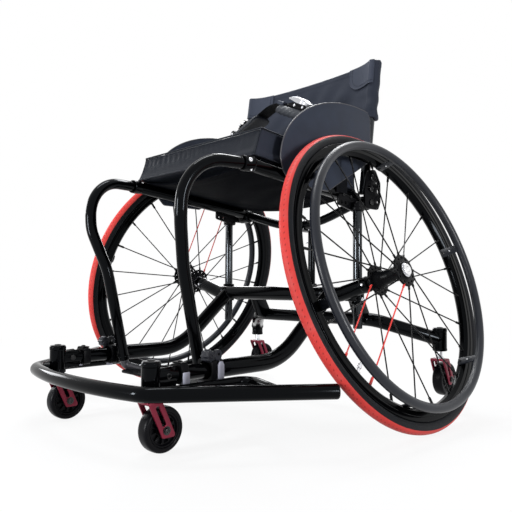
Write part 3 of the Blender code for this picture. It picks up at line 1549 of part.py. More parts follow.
def build_upholstery():
    rings = []
    for height, puff in (
        (HOLSTER_LOW, HOLSTER_HEM),
        (HOLSTER_LOW + HOLSTER_HEM, 0),
        (HOLSTER_TOP - HOLSTER_HEM, 0),
        (HOLSTER_TOP, HOLSTER_HEM),
    ):
        rings.append(holster_ring(height, puff))
    body = add_object("back_upholstery", bridged(rings), black_fabric())
    pockets = []
    for side in (1, -1):
        ends = []
        for along in (HOLSTER_LOW - OVERRUN, BACK_POST_RISE + TOUCH_GAP):
            x, y, z = post_point(along)
            ends.append((side * x, y, z))
        pockets.append(rod(ends[0], ends[1], BACK_POST_RADIUS + TOUCH_GAP, BACK_POST_SIDES))
    return cut(body, pockets)


def place_backrest(datum):
    hinge = pivot("back_hinge", datum, (0, HINGE_Y, HINGE_Z))
    hold(hinge, pair(build_back_post, "back_post") + [build_upholstery()])


# Side guards and lap belt


def build_guard():
    """A flat plate with an elliptical upper edge, on two stand-off studs."""
    last = math.acos((GUARD_BACK_Y - GUARD_BACK_INSET - GUARD_CENTRE_Y) / GUARD_REACH)
    outline = [
        (GUARD_BACK_Y, GUARD_CENTRE_Z + GUARD_BACK_RISE),
        (GUARD_BACK_Y, GUARD_CENTRE_Z + GUARD_RISE * math.sin(last) - GUARD_BACK_DROP),
    ]
    for i in range(GUARD_STEPS + 1):
        angle = last + (math.pi - last) * i / GUARD_STEPS
        y = GUARD_CENTRE_Y + GUARD_REACH * math.cos(angle)
        outline.append((y, GUARD_CENTRE_Z + GUARD_RISE * math.sin(angle)))
    nose = GUARD_CENTRE_Y - GUARD_REACH
    outline.append((nose + GUARD_NOSE_INSET, GUARD_CENTRE_Z - GUARD_NOSE_DROP))
    outline.append((nose + GUARD_CHIN_INSET, GUARD_LOW_Z))
    outline.append((GUARD_FLAT_END_Y, GUARD_LOW_Z))
    panel = extruded(outline, "X", GUARD_X, GUARD_X + GUARD_THICKNESS)
    plate = add_object("side_guard", panel, satin_black())
    studs = []
    for y in GUARD_STUDS_Y:
        z = rail_z(y)
        start = RAIL_X + RAIL_RADIUS + TOUCH_GAP
        end = GUARD_X + GUARD_THICKNESS + GUARD_STUD_PROUD
        studs.append(rod((start, y, z), (end, y, z), GUARD_STUD_RADIUS))
    return combine(plate, studs)


def belt_run(side):
    """From a shoulder of the lap belt to its crest: the start, the direction and the way up from it."""
    shoulder = Vector((side * BELT_X, 0, BELT_SHOULDER_Z))
    along = (Vector((BELT_CREST_X, 0, BELT_CREST_Z)) - shoulder).normalized()
    up = Vector((0, side, 0)).cross(along)
    return shoulder, along, up.normalized()


def strap_mesh(points):
    return swept(points, oblong(BELT_WIDTH, BELT_THICKNESS), (0, 1, 0))


def flat_bar(start, end, width, thickness):
    """A flat bar along the strap, as a tool for joining."""
    return add_object("tool", swept((start, end), oblong(width, thickness), (0, 1, 0)), satin_black())


def build_left_belt():
    """The left strap, with the base of the ratchet buckle and its two cheeks."""
    shoulder, along, up = belt_run(1)
    start = shoulder + along * BUCKLE_START
    anchor = (BELT_X, 0, BELT_LOW_Z)
    route = bent_route([anchor, shoulder, start + along * BUCKLE_OVERLAP], (BELT_SHOULDER_BEND,))
    strap = add_object("lap_belt_left", strap_mesh(route), black_fabric())
    low = start + up * BUCKLE_RAISE
    base = flat_bar(low, low + along * BUCKLE_LENGTH, BELT_WIDTH - BUCKLE_MARGIN, BUCKLE_BASE_THICKNESS)
    cheeks = []
    for side in (1, -1):
        line = start + Vector((0, side * (BELT_WIDTH / 2 - CHEEK_INSET), 0)) + up * BUCKLE_HEIGHT / 2
        near = line + along * CHEEK_START
        far = line + along * CHEEK_END
        cheeks.append(flat_bar(near, far, CHEEK_THICKNESS, BUCKLE_HEIGHT))
    return combine(strap, [base] + cheeks)


def build_right_belt():
    """The right strap, from the buckle over the crest to its anchor, with the fitting sewn to it."""
    shoulder, along, _ = belt_run(1)
    start = shoulder + along * (BUCKLE_START + BUCKLE_LENGTH + TOUCH_GAP)
    far_shoulder, far_along, _ = belt_run(-1)
    corners = [start, (BELT_CREST_X, 0, BELT_CREST_Z), far_shoulder, (-BELT_X, 0, BELT_LOW_Z)]
    route = bent_route(corners, (BELT_CREST_BEND, BELT_SHOULDER_BEND))
    strap = add_object("lap_belt_right", strap_mesh(route), black_fabric())
    near = far_shoulder + far_along * FITTING_PLACE
    far = near + far_along * FITTING_LENGTH
    fitting = flat_bar(near, far, BELT_WIDTH - FITTING_MARGIN, FITTING_THICKNESS)
    return combine(strap, [fitting])


def build_lever():
    """The ratchet lever, a shallow domed plate that lies over the buckle's base, and its hinge point."""
    shoulder, along, up = belt_run(1)
    hinge = shoulder + along * (BUCKLE_START + LEVER_PLACE) + up * (BUCKLE_HEIGHT - LEVER_DROP)
    width = BELT_WIDTH - 2 * CHEEK_INSET - CHEEK_THICKNESS - 2 * TOUCH_GAP
    route = []
    for share, lift in zip(LEVER_SHARES, LEVER_LIFTS):
        route.append(along * LEVER_LENGTH * share + up * lift)
    section = oblong(width, LEVER_THICKNESS)
    lever = add_object("buckle_lever", swept(route, section, (0, 1, 0)), bright_steel())
    pin = rod((0, -width / 2, 0), (0, width / 2, 0), LEVER_PIN_RADIUS, SMALL_HOLE_SIDES)
    combine(lever, [pin])
    return lever, hinge


def build_frame(datum):
    for build, stem in (
        (build_side_tube, "side_tube"),
        (build_slider, "front_slider"),
        (build_slider_clamp, "slider_clamp"),
        (build_strap_clamp, "strap_clamp"),
        (build_front_loop, "front_loop"),
        (build_seat_rail, "seat_rail"),
        (build_height_post, "height_post"),
        (build_back_bracket, "back_bracket"),
        (build_guard, "side_guard"),
    ):
        hold(datum, pair(build, stem))
    named = {
        "camber_tube": build_camber_tube,
        "wing_bumper": build_wing,
        "footplate": build_footplate,
        "seat_cross_tube": build_cross_tube,
        "seat_sling": build_sling,
        "cushion": build_cushion,
        "rear_bar": build_rear_bar,
        "centre_strut": build_strut,
        "lap_belt_left": build_left_belt,
        "lap_belt_right": build_right_belt,
    }
    for name, build in named.items():
        piece = build()
        piece.name = name
        hold(datum, [piece])
    lever, hinge = build_lever()
    lever.location = hinge
    hold(datum, [lever])


def main():
    clear_scene()
    datum = pivot("chair_datum", None, (0, DATUM_Y, 0))
    build_frame(datum)
    place_backrest(datum)
    place_drive_wheels(datum)
    place_casters(datum)
    bpy.context.view_layer.update()


main()
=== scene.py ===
"""Looks of a basketball wheelchair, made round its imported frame.

Each group of pieces is an operator, the sizes and colours that a user would change are properties, and a
panel in the 3D view's sidebar lists them all. Lengths are metres. Places are measured from the middle plane
(x, the chair's own left is +), from the line of the drive wheel axles (y, the front is -) and from the
floor (z); AXLE_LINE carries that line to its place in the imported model.
"""

import math

import bmesh
import bpy
import numpy as np
from mathutils import Matrix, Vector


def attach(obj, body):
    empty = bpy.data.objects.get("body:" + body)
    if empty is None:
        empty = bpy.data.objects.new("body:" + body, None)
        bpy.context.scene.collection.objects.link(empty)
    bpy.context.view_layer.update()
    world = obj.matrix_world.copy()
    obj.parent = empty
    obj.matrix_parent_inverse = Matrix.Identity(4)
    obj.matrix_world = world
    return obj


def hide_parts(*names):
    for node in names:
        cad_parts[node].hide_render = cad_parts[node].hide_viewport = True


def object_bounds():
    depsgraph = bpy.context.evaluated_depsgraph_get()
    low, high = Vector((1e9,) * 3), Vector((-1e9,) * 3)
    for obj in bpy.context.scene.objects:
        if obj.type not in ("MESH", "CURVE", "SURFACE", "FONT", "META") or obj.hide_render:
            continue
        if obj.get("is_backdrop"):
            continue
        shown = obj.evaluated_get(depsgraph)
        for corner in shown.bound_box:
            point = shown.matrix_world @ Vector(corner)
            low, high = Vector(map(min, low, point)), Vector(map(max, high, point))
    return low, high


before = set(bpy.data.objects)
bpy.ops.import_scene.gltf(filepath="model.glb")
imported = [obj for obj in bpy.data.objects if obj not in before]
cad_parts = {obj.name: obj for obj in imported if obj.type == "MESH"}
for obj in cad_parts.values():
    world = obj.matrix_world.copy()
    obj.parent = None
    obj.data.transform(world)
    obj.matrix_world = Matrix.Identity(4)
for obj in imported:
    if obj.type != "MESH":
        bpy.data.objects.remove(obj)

bl_info = {
    "name": "Basketball Wheelchair Looks",
    "version": (1, 0, 0),
    "blender": (4, 5, 0),
    "location": "View3D > Sidebar > Wheelchair",
    "description": "Builds the visible pieces of a basketball wheelchair over its packed frame",
    "category": "Object",
}

CAD_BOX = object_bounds()
AXLE_LINE = np.array([0.0, 0.11525, 0.0])
SIDES = (("left", 1), ("right", -1))
X, Y, Z = np.eye(3)

# The axes of flat plates: their right, their up and the way they face
SIDEWAYS = (Y, Z, X)
LEVEL = (X, Y, Z)

GAP = 0.0003
POLE = 0.0002
FULL_TURN = 2 * math.pi

# Drive wheels, about their own axle line
CAMBER = math.radians(17.63)
AXLE_WAY = np.array([math.cos(CAMBER), 0.0, math.sin(CAMBER)])
HUB = np.array([0.316, 0.0, 0.29125])
TYRE_SEAT = 0.0093
RIM_DEPTH = 0.025
RIM_WIDTH = 0.021
RIM_CROWN = 0.009
SPOKE_LEAN = math.radians(16)
SPOKE_PHASE = math.radians(5)
RED_SPOKES = (2, 3)
VALVE_ANGLE = math.radians(42.6)
FLANGE_RADIUS = 0.032
FLANGE_PLACE = 0.031
HUB_END = 0.0365
AXLE_FACE = HUB_END + GAP
BARREL_RADIUS = 0.0175
HANDRIM_PLACE = 0.038
TAB_PHASE = math.radians(-47)
RIGHT_WHEEL_TURN = math.radians(143)

# Frame
CAMBER_TUBE_Z = 0.25205
POST = (0.207, 0.044)
SIDE_X = 0.162
SIDE_Z = 0.123
FRONT_BARREL_Y = -0.46
STRAP_Y = -0.403
LOOP_BOSS_Y = -0.3345
WING_Z = 0.1025
WING_CORNER = (0.192, -0.492)
WING_END = (0.374, -0.247)
WING_BOW = 0.026
RAIL_X = 0.184
RAIL_FRONT = (-0.262, 0.4942)
RAIL_BACK = (0.0717, 0.463)
CROSS = (0.088, 0.456)
STRUT_Y = 0.14
REAR_BAR_Z = 0.193
REAR_BARREL = (0.294, 0.242)
HINGE = (0.091, 0.512)
BACK_LEAN = math.radians(8.4)
BACK_POST_X = 0.1945
CASTERS = {
    "front_left": (SIDE_X, FRONT_BARREL_Y, 0.0, 0.147),
    "front_right": (-SIDE_X, FRONT_BARREL_Y, 0.0, 0.147),
    "rear_left": (REAR_BARREL[0], REAR_BARREL[1], 0.02, 0.174),
    "rear_right": (-REAR_BARREL[0], REAR_BARREL[1], 0.02, 0.174),
}
CASTER_TRAIL = 0.02
CASTER_RADIUS = 0.038

# Soft parts
CUSHION_FRONT = -0.261
CUSHION_BACK = 0.064
CUSHION_THICK = 0.06
CUSHION_HALF = np.array([0.191, 0.16, 0.03])
CUSHION_SEAM = 0.93
CUSHION_BEND = 0.0055
SLING_DIP = 0.004
COVER_SPAN = (0.14, 0.2805)
COVER_RADIUS = 0.0162
COVER_HALF = 0.0036
COVER_SAG = 0.012
PATCH_TOP = 0.2788
PATCH_SIZE = (0.078, 0.056)
PATCH_ROUND = 0.034
BELT_X = 0.1979
BELT_ANCHOR_Z = 0.469
BELT_WIDTH = 0.038
BELT_THICK = 0.0022
BELT_SHOULDER_Z = 0.62
BELT_CREST = (0.015, 0.705)
BUCKLE_START = 0.095
BUCKLE_LENGTH = 0.068


# Shader maths


def maths(operation, swapped=False):
    """A method that gives the result of one Math node on a value and its others."""

    def method(value, *others):
        sockets = (*others, value) if swapped else (value, *others)
        return value.tree.node("Math", {"operation": operation}, dict(enumerate(sockets)))

    return method


class Value:
    """A socket that can be used in sums: expressions on values add Math nodes to its tree."""

    def __init__(self, tree, socket):
        self.tree = tree
        self.socket = socket

    __add__ = __radd__ = maths("ADD")
    __mul__ = __rmul__ = maths("MULTIPLY")
    __sub__ = maths("SUBTRACT")
    __rsub__ = maths("SUBTRACT", swapped=True)
    sine = maths("SINE")
    size = maths("ABSOLUTE")
    least = maths("MINIMUM")
    most = maths("MAXIMUM")

    def beside(self, name):
        """Another output of the node that this socket belongs to."""
        return Value(self.tree, self.socket.node.outputs[name])

    def over(self, edge, softness):
        """0 below the edge and 1 above it, with a smooth step of the given width between."""
        ends = {"Value": self, "From Min": edge - softness / 2, "From Max": edge + softness / 2}
        return self.tree.node("MapRange", {"interpolation_type": "SMOOTHSTEP"}, ends)


class Tree:
    """A tree of nodes under construction, with one method that makes any node."""

    def __init__(self, nodes, links):
        self.nodes = nodes
        self.links = links

    def put(self, socket, value):
        if isinstance(value, Value):
            self.links.new(value.socket, socket)
        elif isinstance(value, tuple) and len(value) == 3 and socket.type == "RGBA":
            socket.default_value = (*value, 1)
        else:
            socket.default_value = value

    def node(self, kind, settings=None, sockets=None, out=0):
        """Any node: its settings first, then the values or links of its sockets; gives one of its outputs."""
        made = self.nodes.new("ShaderNode" + kind)
        for key, value in (settings or {}).items():
            if key == "stops":
                ramp = made.color_ramp
                while len(ramp.elements) < len(value):
                    ramp.elements.new(0.5)
                for element, (place, colour) in zip(ramp.elements, value):
                    element.position = place
                    element.color = (*colour, 1)
            else:
                setattr(made, key, value)
        for key, value in (sockets or {}).items():
            self.put(made.inputs[key], value)
        return Value(self, made.outputs[out])

    def seen_directly(self):
        """1 for camera, glossy and transmission rays, 0 for the others: the largest of their three shares."""
        camera = self.node("LightPath", out="Is Camera Ray")
        return camera.most(camera.beside("Is Glossy Ray")).most(camera.beside("Is Transmission Ray"))

    def either(self, share, low, high, output):
        """Sends a mix of two shaders, by a share from 0 to 1, to the tree's output."""
        self.put(self.nodes[output].inputs[0], self.node("MixShader", {}, {0: share, 1: low, 2: high}))


class Finish(Tree):
    """A material under construction."""

    def __init__(self, name, colour, roughness, metallic=0.0, **constants):
        self.material = bpy.data.materials.new(name)
        self.material.use_nodes = True
        super().__init__(self.material.node_tree.nodes, self.material.node_tree.links)
        self.shader = self.nodes["Principled BSDF"]
        self.material.diffuse_color = (*colour, 1)
        self.set("Base Color", colour)
        self.set("Roughness", roughness)
        self.set("Metallic", metallic)
        for socket, value in constants.items():
            self.set(socket.replace("_", " "), value)

    def set(self, name, value):
        self.put(self.shader.inputs[name], value)

    def place(self):
        """The point on the piece, in the object's own coordinates."""
        return self.node("TexCoord", out="Object")

    def run(self):
        """Distance along and across the piece's surface, from its UV map: two values."""
        along = self.node("SeparateXYZ", {}, {0: self.node("TexCoord", out="UV")})
        return along, along.beside(1)

    def stretched(self, scale, place=None):
        return self.node("Mapping", {}, {"Vector": place or self.place(), "Scale": scale})

    def noise(self, scale, detail=3.0, place=None, roughness=0.5):
        sockets = {"Vector": place or self.place(), "Scale": scale, "Detail": detail, "Roughness": roughness}
        return self.node("TexNoise", {}, sockets)

    def mix(self, share, low, high):
        """A colour between two, by a share from 0 to 1."""
        return self.node("Mix", {"data_type": "RGBA"}, {0: share, 6: low, 7: high}, out=2)

    def finished(self, colour, roughness, height, depth):
        """Sets what changes over the surface, with a bump of the given depth, and gives the material."""
        self.set("Base Color", colour)
        self.set("Roughness", roughness)
        self.set("Normal", self.node("Bump", {}, {"Strength": 1.0, "Distance": depth, "Height": height}))
        return self.material


def waves(value, pitch):
    """A sine along a value, with a length between its crests."""
    return (value * (FULL_TURN / pitch)).sine()


def shade(colour, share):
    return tuple(min(1.0, part * share) for part in colour)


def gloss_paint(name, colour, scuffs=0.0, level=0.09):
    """Powder coat under clear gloss: orange peel, wiping smudges, and grey scuffs in random patches, by the
    share given.
    """
    made = Finish(name, colour, 0.12, Specular_IOR_Level=level, Specular_Tint=(0.84, 0.92, 1.0))
    smudge = made.noise(9, 5).over(0.5, 0.5)
    scratch = made.noise(1.0, 6, made.stretched((30, 420, 420)), 0.7).over(0.66, 0.05)
    scuff = made.noise(55, 8, roughness=0.75).over(0.7, 0.04) * scuffs
    worn = made.mix((scuff + scratch * 0.15).least(1), colour, (0.03, 0.03, 0.034))
    peel = made.noise(620, 2) * 0.5 + made.noise(160, 2) * 0.5 - scuff * 0.6
    return made.finished(worn, 0.08 + smudge * 0.07 + scuff * 0.3 + scratch * 0.06, peel, 0.00002)


def satin_metal(name, colour, roughness=0.36, grain=(700, 700, 700), metallic=0.0, level=0.5):
    """Blasted and anodised metal: a fine even grain, rubbed slightly brighter in patches."""
    made = Finish(name, colour, roughness, metallic, Specular_IOR_Level=level)
    rubbed = made.noise(11, 5).over(0.55, 0.4)
    fine = made.noise(1.0, 3, made.stretched(grain))
    nick = made.noise(140, 6, roughness=0.8).over(0.74, 0.03)
    worn = made.mix((rubbed * 0.35 + nick * 0.5).least(1), colour, shade(colour, 1.8))
    return made.finished(worn, roughness - rubbed * 0.06 + fine * 0.08, fine - nick, 0.00003)


def bright_metal(name, colour, roughness=0.22, grain=(60, 60, 1800)):
    """Machined or plated steel: turning lines and a slight haze."""
    made = Finish(name, colour, roughness, 1.0)
    lines = made.noise(1.0, 2, made.stretched(grain))
    haze = made.noise(60, 4).over(0.5, 0.5)
    dull = made.mix(haze * 0.35, colour, shade(colour, 0.72))
    return made.finished(dull, roughness + haze * 0.12 + lines * 0.05, lines, 0.00002)


def moulded_plastic(name, colour, roughness=0.45, level=0.45):
    """Moulded nylon or rubber with a spark-eroded grain and faint wear."""
    made = Finish(name, colour, roughness, Specular_IOR_Level=level)
    pebble = made.node("TexVoronoi", {}, {"Vector": made.place(), "Scale": 1500.0})
    haze = made.noise(24, 4).over(0.5, 0.5)
    worn = made.mix(haze * 0.5, colour, shade(colour, 1.6))
    return made.finished(worn, roughness + haze * 0.1, pebble, 0.00004)


def tyre_rubber(colours):
    """Tread and sidewall, told apart by distance from the crown: red tread with small cuts, their insides
    painted dark as painted shade, black sidewall with raised rings, and dust in the tread."""
    tread = tuple(colours.tyre_red)
    made = Finish("tyre_rubber", tread, 0.48, Specular_IOR_Level=0.13)
    along, across = made.run()
    far = across.size()
    wall = far.over(colours.tread_edge, 0.0006)
    cut_row = 1 - (far - 0.005).size().over(0.0011, 0.0006)
    cut_place = (along * (FULL_TURN / 0.0105) + across * 420).sine().over(0.72, 0.3)
    cut = cut_row * cut_place * (1 - wall)
    rings = waves(far, 0.0016).over(0.2, 0.8) * wall
    dust = made.noise(38, 6, roughness=0.65).over(0.58, 0.3)
    worn = made.noise(7, 3).over(0.5, 0.4)
    red = made.mix(worn * 0.5, tread, shade(tread, 0.82))
    red = made.mix(dust * 0.12, red, (0.62, 0.3, 0.28))
    # The cuts are painted dark red inside: painted shade in the recesses.
    red = made.mix(cut * 0.6, red, (0.16, 0.012, 0.012))
    black = made.mix(dust * 0.4, (0.004, 0.0045, 0.006), (0.014, 0.016, 0.021))
    relief = rings * 0.5 - cut + made.noise(420, 3) * 0.35
    return made.finished(made.mix(wall, red, black), 0.44 + dust * 0.1 + wall * 0.05, relief, 0.0002)


def coated_cloth(name, colour, pitch=0.0011, roughness=0.5, level=0.2, sheen=0.05):
    """Polyurethane-coated nylon: a plain weave under a satin skin, its crests painted lighter as a painted
    highlight, rubbed and creased.
    """
    cool = (0.7, 0.82, 1.0)
    gloss = {"Specular_IOR_Level": level, "Specular_Tint": cool}
    made = Finish(name, colour, roughness, Sheen_Weight=sheen, Sheen_Tint=cool, Sheen_Roughness=0.4, **gloss)
    along, across = made.run()
    weave = waves(along, pitch) * waves(across, pitch) * 0.5 + 0.5
    crease = made.noise(26, 6, roughness=0.6)
    soft = made.noise(6, 3).over(0.5, 0.5)
    rub = made.noise(70, 6, roughness=0.7).over(0.66, 0.1)
    # The weave's crests are painted lighter (weave * 0.08), a painted highlight; soft and rub are random tone
    # and rubbed wear.
    worn = made.mix((soft * 0.6 + rub * 0.35 + weave * 0.08).least(1), colour, shade(colour, 1.9))
    dull = roughness + weave * 0.08 - rub * 0.08 + soft * 0.06
    return made.finished(worn, dull, weave * 0.12 + crease * 0.9, 0.0006)


def webbing(name, colour):
    """Woven belt webbing: lengthwise ribs crossed by a herringbone, the threads painted lighter on their
    crests and darker between them (painted highlight and shade), with worn patches.
    """
    made = Finish(name, colour, 0.62, Specular_IOR_Level=0.05, Sheen_Weight=0.03)
    along, across = made.run()
    rib = waves(across, 0.0019) * 0.5 + 0.5
    twill = waves(along + across.size() * 0.9, 0.0023) * 0.5 + 0.5
    thread = rib * 0.55 + twill * 0.45
    worn = made.noise(30, 5).over(0.5, 0.4)
    # Painted shade and highlight: thread crests lighter, the hollows between darker; the worn noise adds real
    # wear.
    painted_thread_shade_and_wear = made.mix(thread * 0.5 + worn * 0.2, shade(colour, 0.5), shade(colour, 1.6))
    return made.finished(painted_thread_shade_and_wear, 0.56 + thread * 0.14, thread, 0.0005)


MADE = {}


def finishes():
    """Every material, made once from the colours in the panel."""
    if MADE:
        return MADE
    colours = bpy.context.scene.wheelchair_finishes
    black, satin, cloth, steel = (
        tuple(held) for held in (colours.paint_black, colours.satin_black, colours.cloth_black, colours.steel)
    )
    fork, red = tuple(colours.fork_crimson), tuple(colours.spoke_red)
    rubber = (0.003, 0.003, 0.004)
    brushed = (40, 1600, 40)
    MADE.update(
        paint=gloss_paint("frame_gloss_black", black),
        bumper=gloss_paint("bumper_gloss_black", black, 0.5, 0.08),
        rim=gloss_paint("rim_gloss_black", black, 0.0, 0.06),
        post=gloss_paint("height_post_gloss_black", black, level=0.5),
        satin=satin_metal("satin_black_metal", satin, 0.3, level=0.07),
        handrim=satin_metal("handrim_satin_black", (0.0085, 0.0102, 0.015), 0.32, (500,) * 3, level=0.32),
        spoke=satin_metal("spoke_black", shade(satin, 0.5), 0.28, level=0.12),
        red_spoke=satin_metal("spoke_red", red, 0.42, (300, 300, 300)),
        crimson=satin_metal("crimson_anodised", fork, 0.36, metallic=0.5, level=0.4),
        grey=satin_metal("grey_hanger_tube", (0.055, 0.055, 0.062), 0.34, metallic=0.3),
        bolt=satin_metal("black_oxide_bolt", satin, 0.24, level=0.5),
        steel=bright_metal("bright_steel", steel),
        cap=bright_metal("polished_cap", (0.96, 0.96, 0.97), 0.12, (40, 40, 40)),
        lever=bright_metal("brushed_lever", shade(steel, 0.58), 0.3, brushed),
        plate=bright_metal("brushed_plate", (0.32, 0.325, 0.385), 0.4, brushed),
        knob=moulded_plastic("knob_grey", (0.01, 0.011, 0.016), 0.42, 0.25),
        plastic=moulded_plastic("moulded_black", rubber, 0.3, 0.08),
        caster=moulded_plastic("caster_tyre_black", rubber, 0.26, 0.08),
        guard=moulded_plastic("guard_black", (0.028, 0.034, 0.05), 0.42, 0.1),
        tyre=tyre_rubber(colours),
        cloth=coated_cloth("coated_cloth_black", shade(cloth, 0.8), 0.0011, 0.42, 0.13, 0.02),
        side_cloth=coated_cloth("side_panel_cloth", shade(cloth, 2.6), 0.0014, 0.6, 0.18),
        back_cloth=coated_cloth("back_cloth", shade(cloth, 2.4), 0.0013, 0.5, 0.14),
        patch=coated_cloth("reinforcing_patch", shade(cloth, 3.6), 0.001, 0.42, 0.22),
        sling=coated_cloth("seat_sling_cloth", shade(cloth, 0.3), 0.0016, 0.5, 0.006, 0.0),
        webbing=webbing("belt_webbing", shade(cloth, 0.5)),
    )
    return MADE


# Surfaces


def unit(vector):
    vector = np.asarray(vector, float)
    return vector / np.linalg.norm(vector, axis=-1, keepdims=True)


def bent_path(corners, bends, step=0.07):
    """Straight runs joined by arcs: at each corner the arc of the given radius touches both runs."""
    corners = np.array(corners, float)
    parts = [corners[:1]]
    for before, corner, after, bend in zip(corners, corners[1:], corners[2:], bends):
        back = unit(before - corner)
        ahead = unit(after - corner)
        turn = math.pi - math.acos(np.clip(back @ ahead, -1, 1))
        centre = corner + unit(back + ahead) * bend / math.cos(turn / 2)
        start = corner + back * bend * math.tan(turn / 2) - centre
        angle = np.linspace(0, turn, max(4, math.ceil(turn / step)))[:, None]
        parts.append(centre + start * np.cos(angle) - back * bend * np.sin(angle))
    parts.append(corners[-1:])
    path = np.concatenate(parts)
    return path[np.r_[True, np.linalg.norm(np.diff(path, axis=0), axis=1) > 1e-6]]


def softened(corners, radius, closed=True, steps=4):
    """An outline with each corner rounded over, by at most 0.45 of the shorter run beside it."""
    corners = np.array(corners, float)
    count = len(corners)
    outline = []
    for i, corner in enumerate(corners):
        back = corners[i - 1] - corner
        ahead = corners[(i + 1) % count] - corner
        room = 0.45 * min(np.linalg.norm(back), np.linalg.norm(ahead))
        back, ahead = unit(back), unit(ahead)
        turn = math.pi - math.acos(np.clip(back @ ahead, -1, 1))
        if turn < 0.05 or not closed and i in (0, count - 1):
            outline.append(corner[None])
            continue
        reach = min(room, radius * math.tan(turn / 2))
        bend = reach / math.tan(turn / 2)
        centre = corner + unit(back + ahead) * bend / math.cos(turn / 2)
        angle = np.linspace(0, turn, steps + 1)[:, None]
        start = corner + back * reach - centre
        outline.append(centre + start * np.cos(angle) - back * bend * np.sin(angle))
    return np.concatenate(outline)


def rectangle(left, right, low, high, bend, steps=4):
    """The outline of a rectangle between four sides, with its corners rounded over."""
    return softened([(left, low), (right, low), (right, high), (left, high)], bend, steps=steps)


def tangents(path, closed=False):
    runs = unit(np.roll(path, -1, axis=0) - path) if closed else unit(np.diff(path, axis=0))
    if closed:
        return unit(runs + np.roll(runs, 1, axis=0))
    return unit(np.concatenate([runs[:1], runs[:-1] + runs[1:], runs[-1:]]))


def lengths(path):
    """Distance along a path at each of its points."""
    return np.r_[0.0, np.cumsum(np.linalg.norm(np.diff(path, axis=0), axis=1))]


def carried(path, section, side, closed=False):
    """A section carried along a path: path + across u + up v, with across square to the path, from side."""
    ahead = tangents(path, closed)
    side = np.broadcast_to(np.asarray(side, float), path.shape)
    across = unit(side - ahead * np.sum(ahead * side, axis=1, keepdims=True))
    up = np.cross(ahead, across)
    return path[:, None] + across[:, None] * section[..., 0:1] + up[:, None] * section[..., 1:2]


def plane_side(path):
    """The direction square to the plane that a path lies in."""
    return np.linalg.svd(path - path.mean(axis=0))[2][-1]


def directions(angle):
    """Unit vectors in a plane, at the given angles."""
    return np.stack([np.cos(angle), np.sin(angle)], axis=-1)


def circle(sides):
    return directions(np.arange(sides) * FULL_TURN / sides)


def fuller(wave, power):
    """A sine or cosine with its size raised to a power, which squares up the curve that it draws."""
    return np.sign(wave) * np.abs(wave) ** power


def smooth(share):
    """A smooth step from 0 to 1: share squared times 3 - 2 share."""
    share = np.clip(share, 0, 1)
    return share * share * (3 - 2 * share)


def mirrored(points):
    return points * np.array([-1.0, 1.0, 1.0])


def placed(name, data):
    """A new object of the scene that holds the given data."""
    made = bpy.data.objects.new(name, data)
    bpy.context.scene.collection.objects.link(made)
    return made


def seen_mesh(holder):
    """A new mesh of an object as its modifiers or its curve give it."""
    return bpy.data.meshes.new_from_object(holder.evaluated_get(bpy.context.evaluated_depsgraph_get()))


def numbers(rows, name, width=1):
    """One value of every vertex, loop or face of a mesh, as an array."""
    held = np.zeros(len(rows) * width, float if width > 1 else int)
    rows.foreach_get(name, held)
    return held.reshape(-1, width) if width > 1 else held


